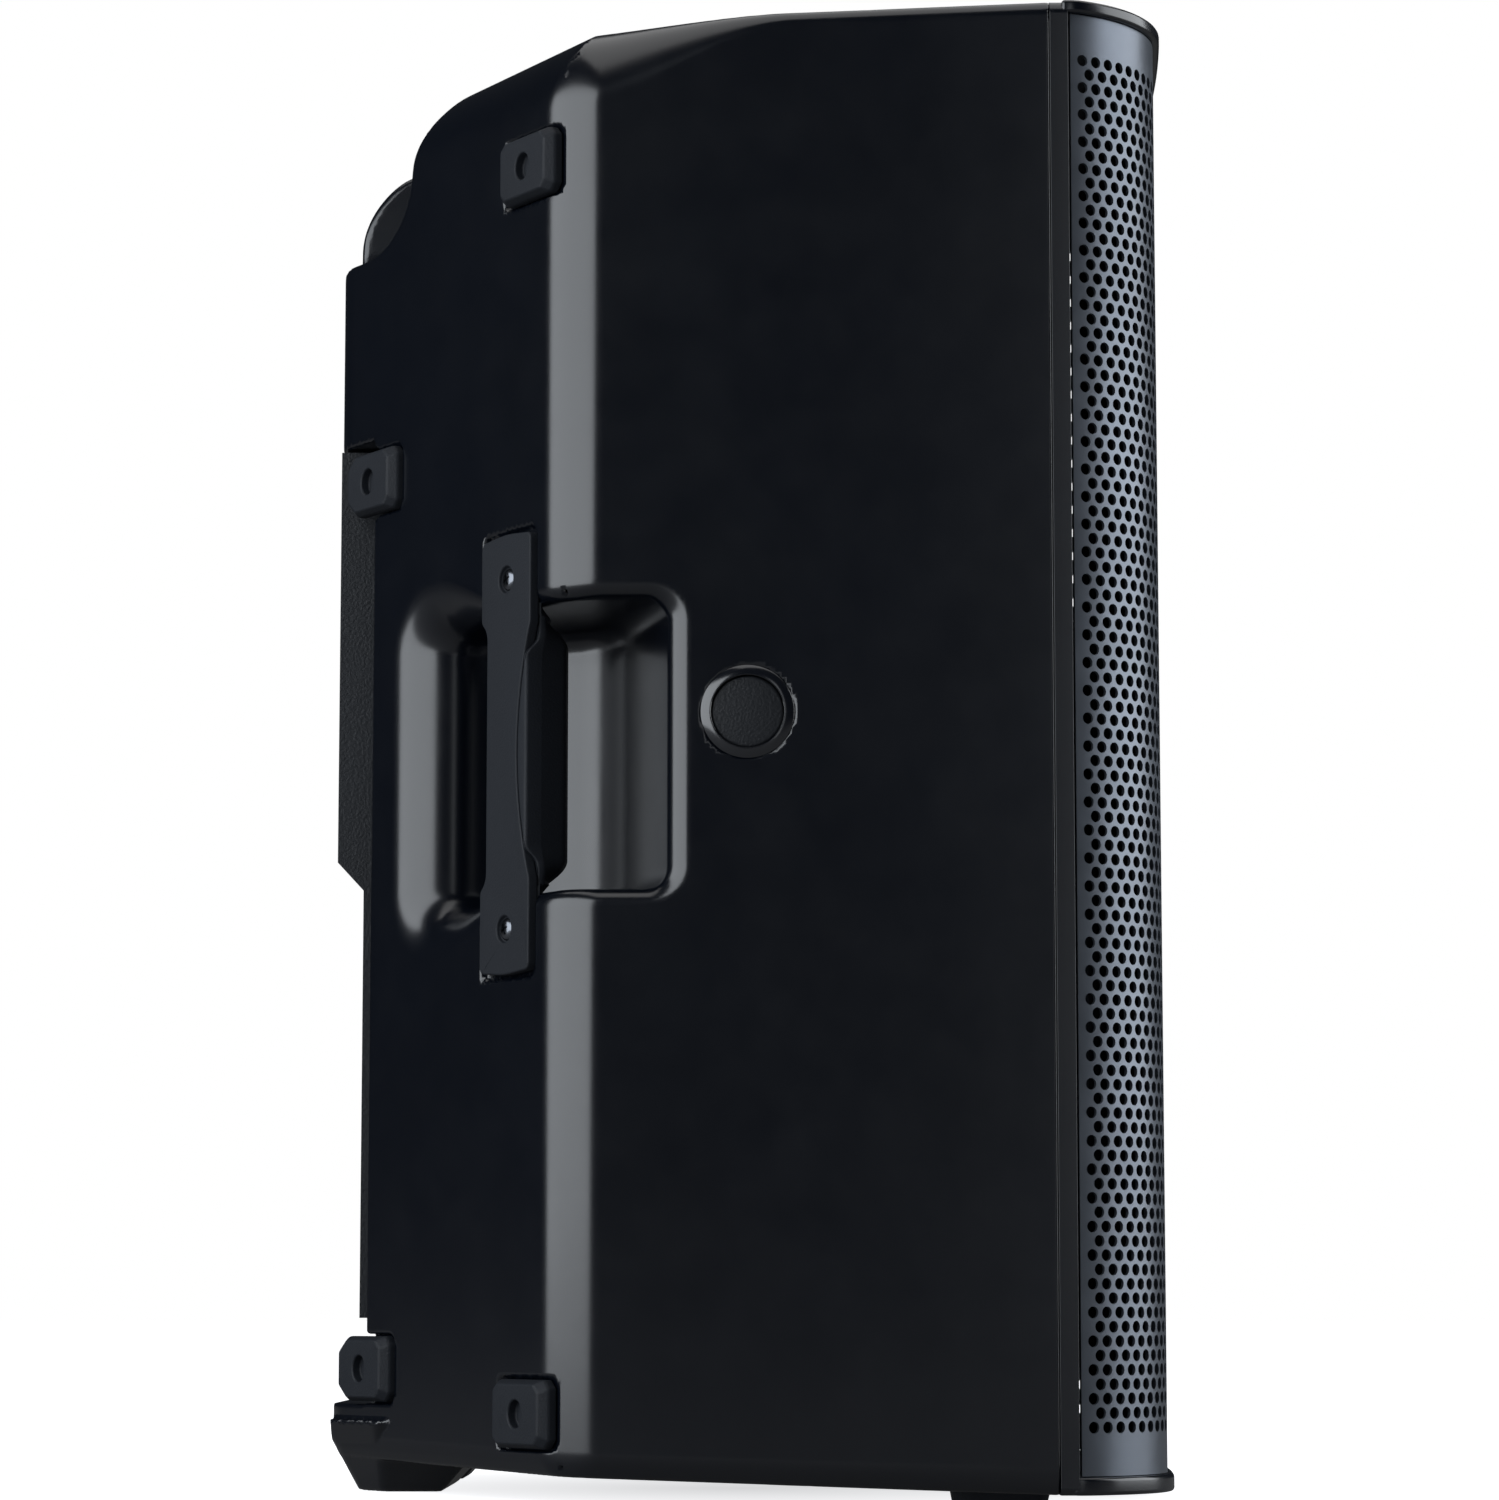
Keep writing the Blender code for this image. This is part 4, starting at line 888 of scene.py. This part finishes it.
def build_bumper(node):
    """A rubber block with sloping sides and an oval screw hole. The rear ones have their rear corners off."""
    matrix = slant_placement(node)
    near = BUMPER_CUT
    cut = REAR_BUMPER_CUT if node.endswith("rear") else BUMPER_CUT
    outlines = []
    for height, (half_u, half_v) in zip(BUMPER_HEIGHTS, BUMPER_HALVES):
        outline = [
            (-half_u + near, -half_v), (half_u - cut, -half_v), (half_u, -half_v + cut * 0.8),
            (half_u, half_v - cut * 0.8), (half_u - cut, half_v), (-half_u + near, half_v),
            (-half_u, half_v - near), (-half_u, -half_v + near),
        ]
        outlines.append([(u, v, height) for u, v in outline])
    points = [point for outline in outlines for point in outline]
    count = len(outlines[0])
    faces = [tuple(range(count)), tuple(range(2 * count, 3 * count))]
    for tier in range(2):
        for index in range(count):
            following = (index + 1) % count
            low = tier * count
            faces.append((low + index, low + following, low + count + following, low + count + index))
    obj = mesh_object(node.replace("bumper", "corner_bumper"), points, faces, matrix)
    turn_outwards(obj)
    taller = Matrix.Diagonal((1.0, 1.1, 1, 1))
    carve(obj, lathe("oval", [(0, 12), (5.0, 12), (5.0, 0.8), (0, 0.8)], matrix @ taller, 32))
    soften(obj, 0.9, 3, 20)
    return dress(obj, "rubber", instead_of=(node,))


def build_mount():
    centre = middle("mount_ring")
    offset = (centre[:2] - LEFT_FRONT) @ SIDE
    plan = LEFT_FRONT + SIDE * offset
    origin = (plan[0], plan[1], centre[2])
    matrix = placement(origin, (-SIDE[0], -SIDE[1], 0), (0, 0, 1))
    collar = [(14.6, -3.4), (14.6, 1.3), (14.8, 1.5), (15.1, 1.5), (18.3, 0.35), (18.6, 0.1), (18.6, 0.0),
              (17.6, 0.0), (17.6, -3.4)]
    ring = lathe("mount_collar", collar, matrix, 96)
    split_edges(ring, 28)
    dress(ring, "moulded_black", instead_of=("mount_ring",), look="gloss_black")
    cap = [(0, 0.2), (13.2, 0.2), (13.9, 0.05), (14.3, -0.4), (14.3, -3.4), (0, -3.4)]
    disc = lathe("mount_disc", cap, matrix, 96)
    split_edges(disc, 50)
    dress(disc, "rubber", instead_of=("mount_cap",), look="textured_black")


BEZEL_DEPTH = 7.6
LIP_OVERHANG = 2.7
LIP_ROUND = 1.9
WOOFER_OPENING = 141.0
PORT_OPENING = 23.5
HORN_OPENING = (122.5, 92.5, 24)


def front_placement(x, z, y):
    """u = X, v = Z, and the third axis points out of the front."""
    return placement((x, y, z), (1, 0, 0), (0, 0, 1))


def lip_outline():
    """The grille's line moved out by the lip's overhang, closed behind the bezel's front face."""
    path, turns = grille_path()
    x = path[:, 0] - np.cos(turns) * LIP_OVERHANG
    y = path[:, 1] - np.sin(turns) * LIP_OVERHANG
    x = np.clip(x, LEFT + 0.05, RIGHT - 0.05)
    y = np.maximum(y, FRONT_LOW[1])
    line = [(a, b) for a, b in zip(x[::3], y[::3])] + [(x[-1], y[-1])]
    rear = GRILLE_HIGH[1] + 3.0
    return [(LEFT + 0.05, rear)] + line + [(RIGHT - 0.05, rear)]


def build_front():
    """The front moulding: a bezel plate with the drivers' openings, and a lip above and below the grille."""
    face = SEAM - BEZEL_DEPTH
    outline = rounded([(LEFT, BASE, 3.0), (RIGHT, BASE, 3.0), (RIGHT, TOP, 6.0), (LEFT, TOP, 6.0)], 8)
    bezel = plate("front_bezel", outline, 0.3 - BEZEL_DEPTH, 0.0, front_placement(0, 0, face))
    openings = []
    for node, radius in (("woofer_basket", WOOFER_OPENING), ("port_tube_left", PORT_OPENING),
                         ("port_tube_right", PORT_OPENING)):
        centre = middle(node)
        spot = front_placement(centre[0], centre[2], face)
        openings.append(lathe(f"{node}_opening", [(0, 30), (radius, 30), (radius, -30), (0, -30)], spot, 64))
    horn = middle("horn_waveguide")
    half_u, half_v, corner = HORN_OPENING
    signs = ((-1, -1), (1, -1), (1, 1), (-1, 1))
    mouth = rounded([(su * half_u, sv * half_v, corner) for su, sv in signs], 8)
    openings.append(plate("horn_opening", mouth, -30, 30, front_placement(horn[0], horn[2], face)))
    for opening in openings:
        carve(bezel, opening)
    soften(bezel, 0.9, 3, 40)
    dress(bezel, "moulded_black", instead_of=("front_baffle",))
    upright = placement((0, 0, 0), (1, 0, 0), (0, 1, 0))
    lips = (("top_lip", GRILLE_HIGH[2] + 0.3, TOP), ("bottom_lip", BASE, GRILLE_LOW[2] - 0.3))
    for name, low, high in lips:
        lip = plate(name, lip_outline(), low, high, upright)
        soften(lip, LIP_ROUND, 4, 50)
        dress(lip, "moulded_black")


def build_handles():
    side = placement(on_slant(middle("side_handle_strap")), (0, 0, 1), (SLANT[0], SLANT[1], 0))
    build_strap("side", side)
    top = middle("top_handle_strap")
    height = TOP - TAPER * (top[1] - SEAM)
    build_strap("top", placement((top[0], top[1], height), (1, 0, 0), (0, 1, -TAPER)))


# The CAD nodes that show as they are

KEPT = {
    "foot_front_left": ("rubber", 0.6),
    "foot_front_right": ("rubber", 0.6),
    "amp_chassis": ("moulded_black", 0.6),
    "display_lens": ("glass", 0.3),
    "gain_knob_a": ("rubber", 0.3),
    "gain_knob_b": ("rubber", 0.3),
    "gain_knob_c": ("rubber", 0.3),
    "menu_knob": ("rubber", 0.3),
    "menu_encoder_shaft": ("aluminium", 0.0),
    "menu_button_left": ("rubber", 0.4),
    "menu_button_right": ("rubber", 0.4),
    "input_jack_a": ("black_steel", 0.5),
    "input_jack_b": ("black_steel", 0.5),
    "output_socket": ("black_steel", 0.5),
    "jack_latch_a": ("bright_steel", 0.2),
    "jack_latch_b": ("bright_steel", 0.2),
    "power_inlet": ("moulded_black", 0.5),
    "power_switch_frame": ("moulded_black", 0.4),
    "power_rocker": ("black_steel", 0.8),
    "pole_cup": ("moulded_black", 0.4),
    "mount_insert": ("bright_steel", 0.0),
    "grille_foam": ("foam", 0.0),
    "woofer_basket": ("black_steel", 0.4),
    "woofer_top_plate": ("magnet", 0.4),
    "woofer_magnet": ("magnet", 0.8),
    "woofer_pole_piece": ("magnet", 0.4),
    "woofer_cone": ("paper", 0.0),
    "woofer_dust_cap": ("paper", 0.0),
    "woofer_surround": ("rubber", 0.0),
    "woofer_spider": ("paper", 0.0),
    "voice_coil": ("aluminium", 0.0),
    "horn_waveguide": ("moulded_black", 0.0),
    "horn_driver_magnet": ("magnet", 0.6),
    "horn_driver_cap": ("black_steel", 0.4),
    "hf_diaphragm": ("aluminium", 0.0),
    "port_tube_left": ("moulded_black", 0.0),
    "port_tube_right": ("moulded_black", 0.0),
    "amp_board": ("board", 0.0),
    "amp_heatsink": ("aluminium", 0.0),
    "power_supply": ("board", 0.0),
    "fan_frame": ("moulded_black", 0.4),
    "fan_rotor": ("moulded_black", 0.0),
}


KEPT_LOOKS = {"amp_chassis": "textured_black"}


def keep_nodes():
    for name, (slot, edge) in KEPT.items():
        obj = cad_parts[name]
        obj.data.materials.clear()
        obj.data.materials.append(FINISHES[KEPT_LOOKS.get(name, slot)])
        if edge:
            bevel = obj.modifiers.new("softened_edges", "BEVEL")
            bevel.width = edge * MM
            bevel.segments = 2
            bevel.limit_method = "ANGLE"
            bevel.angle_limit = math.radians(40)
        split = obj.modifiers.new("hard_edges", "EDGE_SPLIT")
        split.split_angle = math.radians(32)


# Studio


def emitter(name, place, target, size, energy, colour):
    data = bpy.data.lights.new(name, "AREA")
    data.shape = "RECTANGLE"
    data.size, data.size_y = size
    data.energy = energy
    data.color = colour
    lamp = bpy.data.objects.new(name, data)
    aim = Vector(target) - Vector(place)
    lamp.matrix_world = Matrix.Translation(place) @ aim.to_track_quat("-Z", "Y").to_matrix().to_4x4()
    bpy.context.scene.collection.objects.link(lamp)


# Metres and watts: name, place, target, size, energy and colour
CENTRE = (0, 0, 0.3)
COOL = (0.92, 0.96, 1.0)
LAMPS = (
    ("overhead", (0.1, -0.2, 2.3), CENTRE, (2.6, 2.6), 22, (1, 1, 1)),
    ("rear_left_panel", (-1.15, 1.6, 0.75), CENTRE, (2.7, 1.9), 48, (0.90, 0.95, 1.0)),
    ("front_left_panel", (0.1, -2.4, 0.9), CENTRE, (2.2, 2.2), 48, COOL),
    ("bezel_kicker", (-2.2, -0.52, 0.57), (-0.178, -0.13, 0.3), (0.36, 1.6), 1.6, COOL),
)
FLOOR_SIZE = 60
FLOOR_GLOW = 1.1
# The floor's glow right under the cabinet, and how far out it rises back to FLOOR_GLOW: a painted shadow
PAINTED_SHADOW_GLOW = 0.66
PAINTED_SHADOW_REACH = 0.26
BOUNCE_GLOW = 0.05


def floor_plane(name, height, glow, tone):
    bpy.ops.mesh.primitive_plane_add(size=FLOOR_SIZE, location=(0, 0, height))
    floor = bpy.context.object
    floor.name = name
    surface = finish(name, (tone, tone, tone), 0.7, grain=0.02, grain_scale=300.0, tint=0.01, specular=0.1)
    shader = surface.node_tree.nodes["Principled BSDF"]
    shader.inputs["Emission Color"].default_value = (0.98, 0.985, 1.0, 1)
    shader.inputs["Emission Strength"].default_value = glow
    floor.data.materials.append(surface)
    return floor, surface.node_tree, shader


def build_floors():
    """The floor that is seen, its glow dimmed under the cabinet as a painted shadow, and a dim one that
    lights and shows in it.
    """
    floor, tree, shader = floor_plane("studio_floor", 0.0, FLOOR_GLOW, 0.5)
    # Painted shadow: the glow is lowest at the floor's centre under the cabinet and rises with distance from
    # it
    place = node_of(tree, "ShaderNodeTexCoord")
    distance = node_of(tree, "ShaderNodeVectorMath", operation="LENGTH")
    painted_shadow_fade = node_of(tree, "ShaderNodeMapRange")
    painted_shadow_fade.inputs["From Min"].default_value = 0.0
    painted_shadow_fade.inputs["From Max"].default_value = PAINTED_SHADOW_REACH
    painted_shadow_fade.inputs["To Min"].default_value = PAINTED_SHADOW_GLOW
    painted_shadow_fade.inputs["To Max"].default_value = FLOOR_GLOW
    tree.links.new(place.outputs["Object"], distance.inputs[0])
    tree.links.new(distance.outputs["Value"], painted_shadow_fade.inputs["Value"])
    tree.links.new(painted_shadow_fade.outputs["Result"], shader.inputs["Emission Strength"])
    floor.visible_diffuse = False
    floor.visible_glossy = False
    floor.visible_shadow = False
    bounce, _, _ = floor_plane("bounce_floor", -0.002, BOUNCE_GLOW, 0.15)
    bounce.visible_camera = False
    bounce.visible_shadow = False


def build_studio():
    scene = bpy.context.scene
    scene.view_settings.view_transform = "Standard"
    world = bpy.data.worlds.new("studio")
    scene.world = world
    world.use_nodes = True
    tree = world.node_tree
    backdrop = tree.nodes["Background"]
    backdrop.inputs["Color"].default_value = (1, 1, 1, 1)
    backdrop.inputs["Strength"].default_value = 1.0
    room = node_of(tree, "ShaderNodeBackground")
    room.inputs["Color"].default_value = (0.5, 0.56, 0.66, 1)
    room.inputs["Strength"].default_value = 0.03
    path = node_of(tree, "ShaderNodeLightPath")
    mix = node_of(tree, "ShaderNodeMixShader")
    tree.links.new(path.outputs["Is Camera Ray"], mix.inputs["Fac"])
    tree.links.new(room.outputs["Background"], mix.inputs[1])
    tree.links.new(backdrop.outputs["Background"], mix.inputs[2])
    tree.links.new(mix.outputs["Shader"], tree.nodes["World Output"].inputs["Surface"])

    build_floors()
    for name, place, target, size, energy, colour in LAMPS:
        emitter(name, place, target, size, energy, colour)


def build_camera():
    data = bpy.data.cameras.new("camera")
    data.lens = 105.2
    data.sensor_width = 36.0
    data.shift_y = 0.043
    data.clip_start = 0.05
    camera = bpy.data.objects.new("camera", data)
    camera.location = (-1.9, -0.0008, 0.0755)
    camera.rotation_euler = (math.radians(90 + 6.46), 0, math.radians(-90))
    bpy.context.scene.collection.objects.link(camera)
    bpy.context.scene.camera = camera


build_camera()
build_studio()
build_shell()
build_grille()
build_handles()
for bumper in BUMPERS:
    build_bumper(bumper)
build_mount()
build_front()
keep_nodes()
